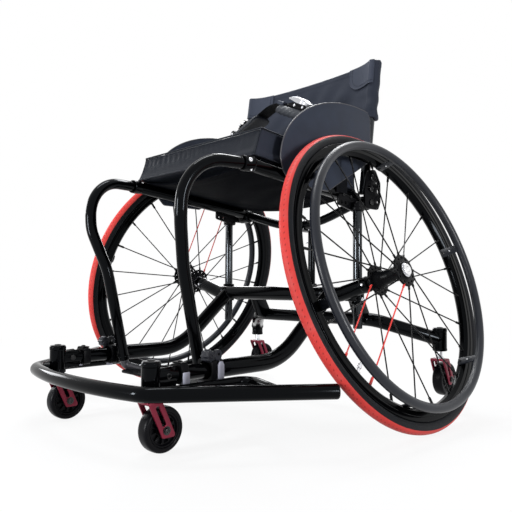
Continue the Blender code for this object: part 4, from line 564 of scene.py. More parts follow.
class Skin:
    """The points and faces of one piece, gathered shell by shell before they become a mesh."""

    def __init__(self):
        self.points = []
        self.faces = []
        self.count = 0

    def add(self, points, faces, uvs, material=0):
        """Adds a shell: faces and uvs are lists of arrays, one for each count of corners."""
        for face, uv in zip(faces, uvs):
            self.faces.append((face + self.count, material, uv))
        self.points.append(points)
        self.count += len(points)
        return self

    def grid(self, points, round_rows=False, round_columns=True, caps=True, material=0, run=None, girth=None):
        """Faces between neighbours on a grid of rows and columns; caps close the first and last row."""
        rows, columns = points.shape[:2]
        i, j = np.meshgrid(
            np.arange(rows if round_rows else rows - 1),
            np.arange(columns if round_columns else columns - 1),
            indexing="ij",
        )
        corners = ((i, j), (i, j + 1), (i + 1, j + 1), (i + 1, j))
        quads = np.stack([(a % rows) * columns + b % columns for a, b in corners], axis=-1).reshape(-1, 4)
        if run is None:
            run = lengths(np.concatenate([points[:, 0], points[:1, 0]]))
        if girth is None:
            girth = lengths(np.concatenate([points[rows // 2], points[rows // 2, :1]]))
        run = np.append(run, run[-1]) if len(run) == rows else run
        girth = np.append(girth, girth[-1]) if len(girth) == columns else girth
        uv = np.stack([np.stack([run[a], girth[b]], axis=-1) for a, b in corners], axis=-2).reshape(-1, 4, 2)
        faces, uvs = [quads], [uv]
        if caps and not round_rows:
            ends = np.stack([np.arange(columns), (rows - 1) * columns + np.arange(columns)])
            faces.append(ends)
            uvs.append(np.tile(circle(columns) * 0.01, (2, 1, 1)))
        return self.add(points.reshape(-1, 3), faces, uvs, material)

    def tube(self, path, radius, sides=32, edge=0.0012, side=None, material=0):
        """A round tube along a path, its two ends rounded over by a quarter circle of the edge radius."""
        path = np.asarray(path, float)
        turn = np.linspace(0, math.pi / 2, 4)
        inset = edge * (1 - np.cos(turn))
        fall = edge * (1 - np.sin(turn))
        first = path[0] + inset[:, None] * unit(path[1] - path[0])
        last = path[-1] + inset[::-1, None] * unit(path[-2] - path[-1])
        whole = np.concatenate([first, path[1:-1], last])
        radii = np.broadcast_to(np.asarray(radius, float), (len(path),))
        radii = np.concatenate([radii[0] - fall, radii[1:-1], (radii[-1] - fall)[::-1]])
        side = plane_side(path) if side is None else side
        section = circle(sides)[None] * radii[:, None, None]
        return self.grid(carried(whole, section, side), run=lengths(whole), material=material)

    def ring(self, path, radius, sides=8, side=(0.0, 0.0, 1.0), material=0):
        """A round bead along a closed path; the radius may differ from point to point."""
        radii = np.broadcast_to(np.asarray(radius, float), (len(path),))
        section = circle(sides)[None] * radii[:, None, None]
        grid = carried(path, section, side, True)
        return self.grid(grid, round_rows=True, material=material)

    def turned(self, profile, centre, axis, sides=48, closed=False, soft=0.0, material=0):
        """A profile of (radius, along) points turned about an axis through the centre."""
        profile = softened(profile, soft, closed) if soft else np.array(profile, float)
        axis = unit(axis)
        side = unit(np.cross(axis, (0.31, 0.52, 0.79)))
        ring = circle(sides)
        ring = ring[:, 0:1] * side + ring[:, 1:2] * np.cross(axis, side)
        points = np.asarray(centre, float) + profile[:, None, 1:2] * axis + profile[:, None, 0:1] * ring[None]
        return self.grid(points, round_rows=closed, material=material)

    def plate(self, outlines, thickness, edge, origin, axes=SIDEWAYS, material=0):
        """A flat plate with holes and rounded edges: a filled curve, its first outline outside."""
        curve = bpy.data.curves.new("plate", "CURVE")
        curve.dimensions = "2D"
        curve.fill_mode = "BOTH"
        curve.extrude = thickness / 2 - edge
        curve.bevel_depth = edge
        curve.bevel_resolution = 1
        curve.offset = -edge
        for order, outline in enumerate(outlines):
            outline = np.asarray(outline, float)
            after = np.roll(outline, -1, axis=0)
            area = np.sum(outline[:, 0] * after[:, 1] - outline[:, 1] * after[:, 0])
            if (area > 0) != (order == 0):
                outline = outline[::-1]
            spline = curve.splines.new("POLY")
            spline.points.add(len(outline) - 1)
            flat = np.column_stack([outline, np.zeros(len(outline)), np.ones(len(outline))])
            spline.points.foreach_set("co", flat.ravel())
            spline.use_cyclic_u = True
        holder = placed("plate", curve)
        mesh = seen_mesh(holder)
        points = numbers(mesh.vertices, "co", 3)
        loops = numbers(mesh.loops, "vertex_index")
        starts, totals = (numbers(mesh.polygons, name) for name in ("loop_start", "loop_total"))
        faces = [loops[starts[totals == n][:, None] + np.arange(n)] for n in np.unique(totals)]
        bpy.data.objects.remove(holder)
        bpy.data.curves.remove(curve)
        bpy.data.meshes.remove(mesh)
        there = np.asarray(origin, float) + sum(points[:, [k]] * axis for k, axis in enumerate(axes))
        return self.add(there, faces, [points[face][..., :2] for face in faces], material)

    def screw(self, at, out, radius, height, material=0):
        """A socket screw's head: a domed disc with a recess at its middle."""
        shares = [(0.06, 0.35), (0.48, 0.35), (0.52, 0.98), (0.8, 1), (1, 0.62), (1, -0.3), (0.06, -0.3)]
        profile = np.array(shares) * (radius, height)
        return self.turned(profile, at, out, 24, soft=radius * 0.1, material=material)

    def nut(self, at, out, radius, height, material=0):
        """A hexagon nut or head, its upper corners turned down."""
        shares = [(0.06, -0.2), (1, -0.2), (1, 0.8), (0.86, 1), (0.06, 1)]
        return self.turned(np.array(shares) * (radius, height), at, out, 6, material=material)

    def weld(self, start, towards, radius, onto, along, onto_radius, bead=0.0022, material=0):
        """The bead where one tube meets another: the points where lines on the first tube's wall reach the
        second's, found from the distance to its axis, with the ripple of a hand weld."""
        towards, along = unit(towards), unit(along)
        side = unit(np.cross(towards, along))
        up = np.cross(towards, side)
        angle = np.linspace(0, FULL_TURN, 120, endpoint=False)[:, None]
        wall = np.asarray(start, float) + radius * (np.cos(angle) * side + np.sin(angle) * up)
        offset = wall - np.asarray(onto, float)
        offset = offset - (offset @ along)[:, None] * along
        pace = towards - (towards @ along) * along
        a, b = pace @ pace, offset @ pace
        c = np.sum(offset * offset, axis=1) - onto_radius ** 2
        reach = (-b - np.sqrt(np.maximum(b * b - a * c, 0))) / a
        ripple = bead * (1 + 0.12 * np.sin(angle[:, 0] * 40))
        return self.ring(wall + reach[:, None] * towards, ripple, 8, towards, material)

    def moved(self, change):
        """The same skin with its points changed by a function."""
        made = Skin()
        made.points = [change(points) for points in self.points]
        made.faces = self.faces
        made.count = self.count
        return made

    def piece(self, name, body, materials, replaces=(), slot=None, crease=38):
        """Makes the mesh object: doubles merged, faces turned outwards, smooth but for its creases."""
        faces, index, uvs = zip(*self.faces)
        index = [np.full(len(face), material) for face, material in zip(faces, index)]
        uvs = [uv.reshape(-1, 2) for uv in uvs]
        sizes = np.concatenate([np.full(len(face), face.shape[1]) for face in faces])
        points = np.concatenate(self.points) + AXLE_LINE
        loops = np.concatenate([face.ravel() for face in faces])
        mesh = bpy.data.meshes.new(name)
        mesh.vertices.add(len(points))
        mesh.loops.add(len(loops))
        mesh.polygons.add(len(sizes))
        mesh.vertices.foreach_set("co", points.astype(np.float32).ravel())
        for rows, key, values in (
            (mesh.loops, "vertex_index", loops),
            (mesh.polygons, "loop_start", np.r_[0, np.cumsum(sizes)[:-1]]),
            (mesh.polygons, "material_index", np.concatenate(index)),
        ):
            rows.foreach_set(key, values.astype(np.int32))
        layer = mesh.uv_layers.new(name="surface")
        layer.data.foreach_set("uv", np.concatenate(uvs).astype(np.float32).ravel())
        mesh.update(calc_edges=True)
        mesh.validate()
        shell = bmesh.new()
        shell.from_mesh(mesh)
        bmesh.ops.remove_doubles(shell, verts=shell.verts, dist=2e-6)
        bmesh.ops.recalc_face_normals(shell, faces=shell.faces)
        shell.to_mesh(mesh)
        shell.free()
        mesh.shade_smooth()
        mesh.set_sharp_from_angle(angle=math.radians(crease))
        made = placed(name, mesh)
        for material in materials:
            mesh.materials.append(finishes()[material])
        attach(made, body)
        if replaces:
            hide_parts(*replaces)
        return made


def both(skin, stem, body, materials, replaces=(), slot=None, crease=38):
    """The left piece and its mirror image on the right."""
    for side, sign in SIDES:
        nodes = [node + "_" + side for node in replaces]
        turned = skin if sign > 0 else skin.moved(mirrored)
        turned.piece(stem + "_" + side, body, materials, nodes, slot, crease)


def axle_point(along):
    """A point on the left wheel's axle line, measured outwards from the wheel's middle."""
    return HUB + along * AXLE_WAY


def wheel_place(sign):
    """A function that carries points from a wheel's own space, with Z outwards, to its side of the chair."""
    out = AXLE_WAY * (sign, 1, 1)
    basis = np.stack([-Y, np.cross(out, -Y), out])
    if sign < 0:
        turn = np.array(Matrix.Rotation(RIGHT_WHEEL_TURN, 3, "Z"))
        basis = np.diag([1.0, -1.0, 1.0]) @ turn.T @ basis
    middle = HUB * (sign, 1, 1)
    return lambda points: points @ basis + middle


def rail_z(y):
    """Height of the seat rail's middle line, which falls to the rear."""
    slope = (RAIL_BACK[1] - RAIL_FRONT[1]) / (RAIL_BACK[0] - RAIL_FRONT[0])
    return RAIL_FRONT[1] + slope * (y - RAIL_FRONT[0])


def front_loop_path():
    corners = [(RAIL_X, RAIL_FRONT[0] - GAP, RAIL_FRONT[1]), (0.16, -0.396, 0.492), (0.152, -0.396, 0.385)]
    return bent_path(corners + [(0.128, -0.37, 0.3), (0.127, -0.3275, 0.112)], (0.082, 0.1, 0.12))


def camber_path():
    drop = (HUB[2] - CAMBER_TUBE_Z) / math.tan(CAMBER)
    left = np.array([axle_point(-HUB_END - 0.016), (HUB[0] - drop, 0, CAMBER_TUBE_Z)])
    return bent_path(np.concatenate([left, mirrored(left[::-1])]), (0.06, 0.06))


def cross_path():
    left = np.array([(0.2072, *CROSS), (0.165, *CROSS), (0, CROSS[0] + 0.0095, 0.405)])
    return bent_path(np.concatenate([left, mirrored(left[1::-1])]), (0.04, 0.33, 0.04))


def rear_bar_path():
    left = np.array([(*REAR_BARREL, 0.1485), (0.185, STRUT_Y, REAR_BAR_Z)])
    return bent_path(np.concatenate([left, mirrored(left[::-1])]), (0.06, 0.06))


def wing_path():
    """Straight sides from the ends, a corner bend, and a front bowed on one large arc."""
    corner = np.array([*WING_CORNER, WING_Z])
    radius = (corner[0] ** 2 + WING_BOW ** 2) / (2 * WING_BOW)
    angle = math.asin(corner[0] / radius) * np.linspace(0.75, 0, 14)
    bow = corner[1] - WING_BOW + radius * (1 - np.cos(angle))
    front = np.stack([radius * np.sin(angle), bow, np.full(14, WING_Z)], axis=-1)
    left = np.concatenate([bent_path([(*WING_END, WING_Z), corner, front[0]], (0.05,)), front[1:]])
    return np.concatenate([left, mirrored(left[-2::-1])])


def post_point(along):
    """A point on the left back post's middle line, measured up from the hinge."""
    return np.array([BACK_POST_X, *HINGE]) + along * np.array([0, math.sin(BACK_LEAN), math.cos(BACK_LEAN)])


def belt_run(sign):
    """The belt's shoulder, the direction from it to the crest, and the way up from the strap."""
    shoulder = np.array([sign * BELT_X, 0.0, BELT_SHOULDER_Z])
    along = unit(np.array([BELT_CREST[0], 0.0, BELT_CREST[1]]) - shoulder)
    return shoulder, along, unit(np.cross((0.0, sign, 0.0), along))


# Wheels


def tyre_skin(wheels):
    """A round section about the rim's seat, carried round the wheel; across is told from the crown."""
    ring = wheels.wheel_radius - wheels.tyre_radius
    low = math.asin((GAP - TYRE_SEAT) / wheels.tyre_radius)
    angle = np.linspace(low, math.pi - low, 34)
    bulge = wheels.tyre_radius * (1 - 0.012 * np.abs(np.cos(angle)) ** 6)
    radius = ring + bulge * np.sin(angle)
    points = np.zeros((240, 34, 3))
    points[..., :2] = circle(240)[:, None] * radius[:, None]
    points[..., 2] = bulge * np.cos(angle)
    run = np.arange(241) / 240 * FULL_TURN * ring
    girth = (math.pi / 2 - angle) * wheels.tyre_radius
    return Skin().grid(points, round_rows=True, run=run, girth=np.append(girth, girth[-1]))


def rim_seat(wheels):
    """Radius at which the tyre sits in the rim."""
    return wheels.wheel_radius - wheels.tyre_radius - TYRE_SEAT


def rim_skin(wheels):
    """The deep rim: a wedge with rolled corners, a lip at each bead and a raised inner band."""
    seat, half = rim_seat(wheels), RIM_WIDTH / 2
    inner = seat - RIM_DEPTH
    upper = [(seat, half), (inner + 0.0156, half), (inner + 0.015, half - 0.001)]
    upper += [(inner + 0.006, half - 0.0004), (inner, RIM_CROWN / 2)]
    profile = [(radius, -out) for radius, out in upper[::-1]] + upper
    return Skin().turned(profile, (0, 0, 0), Z, 240, closed=True, soft=0.0016)


def spoke_ends(wheels):
    """Both ends of all spokes: hub ends lean back or forward by turns, rim ends lie evenly round the rim."""
    index = np.arange(wheels.spoke_count)
    side = np.where(index % 2 == 1, 1.0, -1.0)
    rim_angle = SPOKE_PHASE + FULL_TURN * index / wheels.spoke_count
    hub_ends = (FLANGE_RADIUS - 0.003) * directions(rim_angle + side * SPOKE_LEAN)
    rim_ends = (rim_seat(wheels) - RIM_DEPTH) * directions(rim_angle)
    return np.column_stack([hub_ends, side * FLANGE_PLACE]), np.column_stack([rim_ends, side * 0.002])


def spokes_skin(wheels, chosen):
    """Straight spokes with a crimped ferrule at the hub and a nipple at the rim: one profile along each."""
    start, end = spoke_ends(wheels)
    skin = Skin()
    thin = wheels.spoke_radius
    radii = np.array([0.0023, 0.0023, thin, thin, thin, 0.0026, 0.0026, 0.0031])
    for a, b in zip(start[chosen], end[chosen]):
        length = np.linalg.norm(b - a)
        nipple = length - np.array([0.0165, 0.015, 0.0015, 0])
        stations = np.r_[0, 0.009, 0.0105, length / 2, nipple]
        skin.tube(a + stations[:, None] * unit(b - a), radii, 10, 0.0004)
    return skin


def hub_skin():
    """The hub: a waisted barrel with drilled flanges, turned from one profile, and a ring of oval holes."""
    bore = 0.0146
    half = [(BARREL_RADIUS - 0.003, 0), (BARREL_RADIUS - 0.002, 0.014), (BARREL_RADIUS + 0.004, 0.029)]
    half += [(BARREL_RADIUS + 0.0035, FLANGE_PLACE + 0.0022), (BARREL_RADIUS, FLANGE_PLACE + 0.003)]
    half += [(BARREL_RADIUS, HUB_END), (bore, HUB_END), (bore, 0.026), (0.009, 0.025)]
    profile = half + [(radius, -along) for radius, along in reversed(half[1:])]
    skin = Skin().turned(profile, (0, 0, 0), Z, 64, closed=True, soft=0.0012)
    holes = []
    for cos, sin in circle(12):
        oval = circle(16) * (0.0017, 0.0026) + (0.0256, 0)
        holes.append(oval @ np.array([[cos, sin], [-sin, cos]]))
    disc = [circle(96) * FLANGE_RADIUS, circle(48) * (BARREL_RADIUS - 0.001)]
    for place in (FLANGE_PLACE, -FLANGE_PLACE):
        skin.plate(disc + holes, 0.004, 0.0007, place * Z, LEVEL)
    return skin


def handrim_skin(wheels):
    """A round tube bent to a hoop, with flat tabs that run in under the rim and their screws."""
    hoop = np.column_stack([wheels.handrim_radius * circle(240), np.full(240, HANDRIM_PLACE)])
    skin = Skin().ring(hoop, wheels.handrim_tube, 28)
    inner = rim_seat(wheels) - RIM_DEPTH
    outline = softened([(-0.01, -0.004), (0.01, -0.004), (0.0085, 0.026), (-0.0085, 0.026)], 0.005)
    section = rectangle(-0.0082, 0.0082, -0.0014, 0.0014, 0.0006)
    for turn in TAB_PHASE + np.arange(6) * math.pi / 3:
        outward = np.array([*directions(turn), 0])
        across = np.cross(Z, outward)
        skin.plate([outline], 0.003, 0.0006, outward * (inner - 0.0019), (across, Z, outward))
        corners = [(0, 0.02), (0, 0.03), (0.0012, 0.037)]
        path = np.array([outward * (inner - 0.0019 + u) + v * Z for u, v in corners])
        skin.grid(carried(path, section, across))
        skin.screw(outward * (inner - 0.0034) + 0.0015 * Z, -outward, 0.0032, 0.0022, 2)
        skin.screw(outward * (inner - 0.0034) + 0.018 * Z, -outward, 0.002, 0.0014, 1)
    return skin


def axle_skin():
    """The quick-release axle: a long pin and a domed round head with a pocket for its button."""
    pin = [(POLE, -0.105), (0.0055, -0.105), (0.00635, -0.103), (0.00635, AXLE_FACE)]
    head = [(0.0118, 0), (0.012, 0.0028), (0.0108, 0.004), (0.0054, 0.0042), (0.0053, -0.0095)]
    profile = pin + [(radius, AXLE_FACE + out) for radius, out in head + [(POLE, -0.0095)]]
    return Skin().turned(profile, (0, 0, 0), Z, 64, soft=0.0006)


def button_skin():
    face = AXLE_FACE + 0.004
    profile = [(POLE, face - 0.008), (0.005, face - 0.008), (0.005, face + 0.0008), (POLE, face + 0.0014)]
    return Skin().turned(profile, (0, 0, 0), Z, 40, soft=0.0018)


def valve_skin(wheels):
    """The inner tube's valve: lock ring, stem and a ribbed cap, pointing at the hub."""
    outward = np.array([*directions(VALVE_ANGLE), 0])
    base = outward * (rim_seat(wheels) - RIM_DEPTH)
    lock = [(POLE, -0.002), (0.0048, -0.002), (0.0048, 0.003), (0.003, 0.0034), (POLE, 0.0034)]
    stem = [(POLE, 0), (0.0026, 0), (0.0026, 0.0135), (POLE, 0.0135)]
    cap = [(POLE, 0.0115), (0.0038, 0.0115), (0.0041, 0.013), (0.0036, 0.021), (0.0022, 0.0235)]
    skin = Skin().turned(lock, base, -outward, 20, soft=0.0006)
    skin.turned(stem, base, -outward, 20, soft=0.0004)
    return skin.turned(cap + [(POLE, 0.0238)], base, -outward, 12, soft=0.0006)


# Frame


def camber_tube_skin(sizes):
    """The bent tube between the wheels, its axle receivers, and the sleeves of the height posts."""
    skin = Skin().tube(camber_path(), sizes.main_tube, 40, 0.001)
    middle = np.array([0, 0, CAMBER_TUBE_Z])
    x, y = POST
    receiver = [(0.0066, 0), (0.0117, 0), (0.0125, 0.001), (0.0125, 0.011), (0.016, 0.0145), (0.0168, 0.0175)]
    receiver += [(0.0168, 0.028), (0.016, 0.03), (0.0066, 0.03)]
    half = [(0.014, 0.016), (0.0146, 0.019), (0.014, 0.022), (0.0103, 0.022)]
    sleeve = [(radius, -up) for radius, up in half[::-1]] + half
    web = rectangle(0.008, y - 0.011, -0.014, 0.014, 0.003)
    slope = np.array([0, -0.154, SIDE_Z - CAMBER_TUBE_Z])
    for sign in (1, -1):
        out = AXLE_WAY * (sign, 1, 1)
        mouth = axle_point(-HUB_END - 0.0008) * (sign, 1, 1)
        skin.turned(receiver, mouth, -out, 48, closed=True, soft=0.0006)
        skin.screw(mouth - out * 0.0225 - 0.0166 * Y, -Y, 0.003, 0.0014, 1)
        post = middle + sign * x * X
        skin.turned(sleeve, post + y * Y, Z, 40, closed=True, soft=0.0008)
        skin.plate([web], 0.018, 0.0012, post)
        for z in (0.01, -0.01):
            skin.screw(post + (sign * 0.0136, y - 0.004, z), (sign, -0.3, 0), 0.0036, 0.003, 1)
        start = middle + (sign * SIDE_X, -0.06, -0.05)
        skin.weld(start, -slope, sizes.main_tube, middle, X, sizes.main_tube)
    return skin


def side_tube_skin(sizes):
    corners = [(SIDE_X, 0, CAMBER_TUBE_Z), (SIDE_X, -0.154, SIDE_Z), (SIDE_X, -0.335, SIDE_Z)]
    return Skin().tube(bent_path(corners, (0.15,)), sizes.main_tube, 40, 0.0014)


def caster_barrel(skin, x, y, heights, cap_heights):
    """A caster barrel with rolled rims, and the domed cap in its top."""
    radii = (0.0063, 0.0148, 0.0162, 0.0162, 0.0155, 0.0155, 0.0161, 0.0161, 0.014, 0.0063)
    skin.turned(list(zip(radii, heights)), (x, y, 0), Z, 48, closed=True, soft=0.001)
    cap = list(zip((POLE, 0.0064, 0.0064, POLE), cap_heights))
    skin.turned(cap, (x, y, 0), Z, 32, soft=0.0008)


def slider_skin():
    """The telescoping front tube, the caster barrel with its domed cap, and the drilled ear between them."""
    skin = Skin().tube([(SIDE_X, -0.281, SIDE_Z), (SIDE_X, FRONT_BARREL_Y, SIDE_Z)], 0.013, 36)
    heights = (0.094, 0.094, 0.0955, 0.0995, 0.101, 0.139, 0.1405, 0.1455, 0.1488, 0.1496)
    caster_barrel(skin, SIDE_X, FRONT_BARREL_Y, heights, (0.148, 0.148, 0.1506, 0.1512))
    middle = np.array([SIDE_X, 0, SIDE_Z - 0.0025])
    ear = [(-0.454, -0.016), (-0.42, -0.018), (-0.416, -0.013), (-0.416, 0.012), (-0.421, 0.018)]
    ear = [softened(ear + [(-0.454, 0.016)], 0.004), circle(24) * 0.0045 + (-0.4327, 0.0025)]
    for x in (-0.0085, 0.0085):
        skin.plate(ear, 0.003, 0.0007, middle + x * X)
    rim = softened([(-0.018, -0.016), (0.018, -0.016), (0.018, -0.011), (0, -0.008), (-0.018, -0.011)], 0.002)
    for sign in (1, -1):
        skin.plate([rim * (1, sign)], 0.018, 0.0008, middle - 0.436 * Y)
    skin.screw((SIDE_X + 0.01, -0.4327, SIDE_Z), X, 0.0052, 0.003, 2)
    skin.nut((SIDE_X - 0.01, -0.4327, SIDE_Z), -X, 0.0058, 0.004, 2)
    lug = np.array([SIDE_X, FRONT_BARREL_Y, WING_Z + 0.002])
    corner = unit(np.array([WING_CORNER[0] - SIDE_X, WING_CORNER[1] - FRONT_BARREL_Y, 0])) * 0.03
    return skin.tube([lug, lug + corner], 0.0072, 24, 0.001)


def collar(skin, y, width, inner, outboard):
    """A clamp round a side tube: a plate with the tube's hole and a flat face outboard."""
    reach = inner + 0.0035
    outline = rectangle(-reach, outboard, -reach, reach, 0.007)
    skin.plate([outline, circle(48) * (inner + GAP)], width, 0.0009, (SIDE_X, y, SIDE_Z), (X, Z, -Y))


def slider_clamp_skin():
    """The slider's clamp: two collars, a ribbed knob on a bent link above, and a strap plate outboard."""
    skin = Skin()
    face = 0.0195
    for y in (-0.3275, -0.3415):
        collar(skin, y, 0.013, 0.016, face)
    side = SIDE_X * X
    strap = [(-0.3365, -0.028), (-0.322, -0.028), (-0.322, 0.01), (-0.326, 0.016), (-0.3325, 0.016)]
    strap = softened(strap + [(-0.3365, 0.01)], 0.0018)
    skin.plate([strap], 0.003, 0.0006, side + (face + 0.0015, 0, SIDE_Z), material=1)
    corners = np.array([(0.009, -0.333, SIDE_Z + 0.01), (0.009, -0.333, 0.1465), (0.009, -0.349, 0.1495)])
    section = rectangle(-0.0045, 0.0045, -0.003, 0.003, 0.001)
    skin.grid(carried(bent_path(side + corners, (0.006,)), section, X))
    lobes = np.linspace(0, FULL_TURN, 96, endpoint=False)
    radius = 0.0102 + 0.0009 * np.cos(lobes * 8)
    along = np.array([-0.009, -0.0082, -0.005, 0.005, 0.0082, 0.009])
    swell = np.array([0.72, 0.93, 1.0, 1.0, 0.93, 0.72])
    ring = np.column_stack([lobes * 0, radius[:, None] * directions(lobes)])
    points = ring[None] * swell[:, None, None] + along[:, None, None] * X
    knob = side + (0, -0.35, 0.149)
    skin.grid(points + knob + 0.011 * X, material=2)
    skin.screw(knob + 0.02 * X, X, 0.004, 0.0015, 2)
    lug = rectangle(-0.357, -0.343, 0.137, 0.149, 0.005)
    skin.plate([lug], 0.006, 0.0008, side + (0.0035, 0, 0.002), material=2)
    hook = [(-0.338, 0.14), (-0.326, 0.14), (-0.322, 0.151), (-0.327, 0.159), (-0.337, 0.158)]
    hook = [softened(hook + [(-0.34, 0.15)], 0.004), circle(20) * 0.0028 + (-0.3305, 0.1505)]
    return skin.plate(hook, 0.007, 0.0009, side + 0.014 * X, material=2)


def strap_clamp_skin():
    """The foot strap's clamp on the slider, with its bright plate bent over the top."""
    skin = Skin()
    face = 0.0165
    collar(skin, STRAP_Y, 0.016, 0.013, face)
    middle = np.array([SIDE_X, STRAP_Y, SIDE_Z])
    outline = rectangle(-0.0075, 0.0075, -0.022, 0.004, 0.002)
    skin.plate([outline], 0.003, 0.0006, middle + (face + 0.0015) * X, material=1)
    corners = np.array([(face + 0.001, 0, 0.003), (face - 0.004, 0, 0.0185), (-0.01, 0, 0.0185)])
    section = rectangle(-0.0072, 0.0072, -0.0014, 0.0014, 0.0006)
    skin.grid(carried(bent_path(middle + corners, (0.006,)), section, Y))
    return skin.screw(middle + (0.002, 0, 0.0195), Z, 0.0042, 0.0024)


def front_loop_skin(sizes):
    """The loop from the seat socket down to the footplate, its boss on the side tube and a set screw."""
    path = front_loop_path()
    skin = Skin().tube(path, sizes.loop_tube, 40, 0.0012)
    boss = np.array([0, LOOP_BOSS_Y, SIDE_Z])
    skin.tube([boss + 0.127 * X, boss + (SIDE_X - 0.0198) * X], 0.008, 28)
    loop = (0.127, -0.33, SIDE_Z)
    skin.weld(boss + 0.14 * X, -X, 0.008, loop, (0, 0.22, -0.97), sizes.loop_tube, 0.0014)
    foot = path[-1]
    up = unit(path[-2] - foot)
    band = [(0.009, 0), (0.0114, 0), (0.0122, 0.0015), (0.0122, 0.0085), (0.0114, 0.01), (0.009, 0.01)]
    skin.turned(band, foot, up, 40, closed=True, soft=0.0005)
    return skin.screw(foot + up * 0.018 + (0.0108, -0.002, 0), (1, -0.2, 0), 0.0028, 0.0012, 1)


def footplate_skin():
    """A thin plate with a ribbed upper face, on two grey hanger tubes."""
    outline = softened([(-0.126, -0.342), (0.126, -0.342), (0.114, -0.267), (-0.114, -0.267)], 0.014)
    skin = Skin().plate([outline], 0.005, 0.0012, 0.0895 * Z, LEVEL)
    for y in np.linspace(-0.333, -0.277, 8):
        reach = 0.118 - (y + 0.342) * 0.16
        skin.tube([(-reach, y, 0.092), (reach, y, 0.092)], 0.0011, 10, 0.0005)
    path = front_loop_path()
    foot = path[-1]
    up = unit(path[-2] - foot)
    low = np.array([foot[0] - 0.018, foot[1] + 0.03, 0.0905])
    hanger = bent_path([foot + up * 0.04, foot - up * 0.012, low], (0.012,))
    for sign in (1, -1):
        skin.tube(hanger * (sign, 1, 1), 0.0088, 28, 0.0012, material=1)
        for step in (-0.004, 0.008):
            skin.screw((sign * (low[0] - 0.004), low[1] + step, 0.0995), Z, 0.003, 0.0015, 2)
    return skin


def wing_skin(sizes):
    """The bowed bumper and its two brace loops, welded where they meet."""
    skin = Skin().tube(wing_path(), sizes.bumper_tube, 40, 0.0035)
    run = np.array([*WING_END, 0]) - (*WING_CORNER, 0)
    reach = (0.318 - WING_CORNER[0]) / run[0]
    meet = (*WING_CORNER, WING_Z) + reach * run
    corners = np.array([(0.199, -0.472, WING_Z), (0.199, -0.276, WING_Z), meet])
    for sign in (1, -1):
        flip = (sign, 1, 1)
        skin.tube(bent_path(corners * flip, (0.022,)), sizes.brace_tube, 32, 0.001)
        start, end = corners[1:] * flip
        skin.weld(start, end - start, sizes.brace_tube, end, run * flip, sizes.bumper_tube, 0.0018)
    return skin


def seat_rail_skin(sizes):
    """The rail with its front socket and screws, and the bolted plate with the height post's socket."""
    skin = Skin().tube([(RAIL_X, *RAIL_FRONT), (RAIL_X, *RAIL_BACK)], sizes.rail_tube, 36)
    path = front_loop_path()
    front = path[0]
    ahead = unit(path[1] - front)
    socket = [(0.0117, 0.017), (0.014, 0.017), (0.0147, 0.0155), (0.0147, -0.004), (0.0135, -0.007)]
    skin.turned(socket + [(0.0117, -0.007)], front, ahead, 44, closed=True, soft=0.0006)
    side = unit(np.cross(ahead, Z))
    for turn, along, size in ((-0.25, 0.008, 0.0042), (1.0, 0.002, 0.0024)):
        out = side * math.cos(turn) + np.cross(side, ahead) * math.sin(turn)
        out = out if out[0] > -0.2 else -out
        skin.screw(front + ahead * along + out * 0.0145, out, size, size * 0.7, 1)
    inner = RAIL_X + 0.0095
    outline = [(-0.012, 0.444), (0.056, 0.43)] + [(y, rail_z(y) - 0.003) for y in (0.056, -0.012)]
    holes = [circle(20) * 0.003 + (y, 0.449) for y in (-0.002, 0.012)]
    skin.plate([softened(outline, 0.006)] + holes, 0.006, 0.0009, (inner + 0.003) * X, material=2)
    cup = [(0.0103, 0.433), (0.014, 0.433), (0.0146, 0.436), (0.0146, 0.44), (0.014, 0.442), (0.014, 0.451)]
    skin.turned(cup + [(0.0103, 0.451)], (*POST, 0), Z, 40, closed=True, soft=0.0006, material=2)
    lid = [(POLE, 0.4463), (0.011, 0.4463), (0.0136, 0.448), (0.012, 0.452), (POLE, 0.4532)]
    skin.turned(lid, (*POST, 0), Z, 36, soft=0.0008, material=2)
    for place in ((0.004, 0.466), (0.03, 0.463)):
        skin.screw((inner + 0.006, *place), X, 0.0034, 0.0024, 3)
    return skin.screw((inner + 0.006, 0.045, 0.45), X, 0.0026, 0.002, 1)


def cross_tube_skin(sizes):
    """The arched tube under the seat, with a machined boss at each end."""
    skin = Skin().tube(cross_path(), sizes.cross_tube, 36)
    boss = [(POLE, 0), (0.0125, 0), (0.016, 0.004), (0.016, 0.034), (0.0148, 0.0355), (POLE, 0.0355)]
    for sign in (1, -1):
        skin.turned(boss, (sign * 0.1695, *CROSS), sign * X, 44, soft=0.001)
    return skin


def strut_skin(sizes):
    """The strut: its tube, the clamp that holds the arched tube, and the cross pin with its head."""
    arch = cross_path()
    _, y, z = arch[np.argmin(np.abs(arch[:, 0]))]
    skin = Skin().tube([(0, STRUT_Y, 0.246), (0, STRUT_Y, z)], sizes.strut_tube, 32)
    reach = sizes.cross_tube + 0.0035
    outline = rectangle(y - reach, 0.151, z - reach, z + 0.008, 0.005)
    skin.plate([outline, circle(40) * 0.0109 + (y, z)], 0.034, 0.0012, (0, 0, 0), material=1)
    for x in (-0.01, 0.01):
        skin.screw((x, 0.1505, z - 0.003), Y, 0.0034, 0.0022, 2)
        skin.screw((x, y - 0.0135, z - 0.003), -Y, 0.0034, 0.0022, 2)
    for place in np.linspace(y - 0.008, 0.146, 4):
        skin.screw((0.0172, place, z - 0.011), X, 0.0018, 0.0012, 2)
    pin = z - 0.04
    skin.tube([(-0.018, STRUT_Y, pin), (0.02, STRUT_Y, pin)], 0.002, 14, 0.0004, material=2)
    return skin.screw((0.0185, STRUT_Y, pin), X, 0.0038, 0.0024, 2)


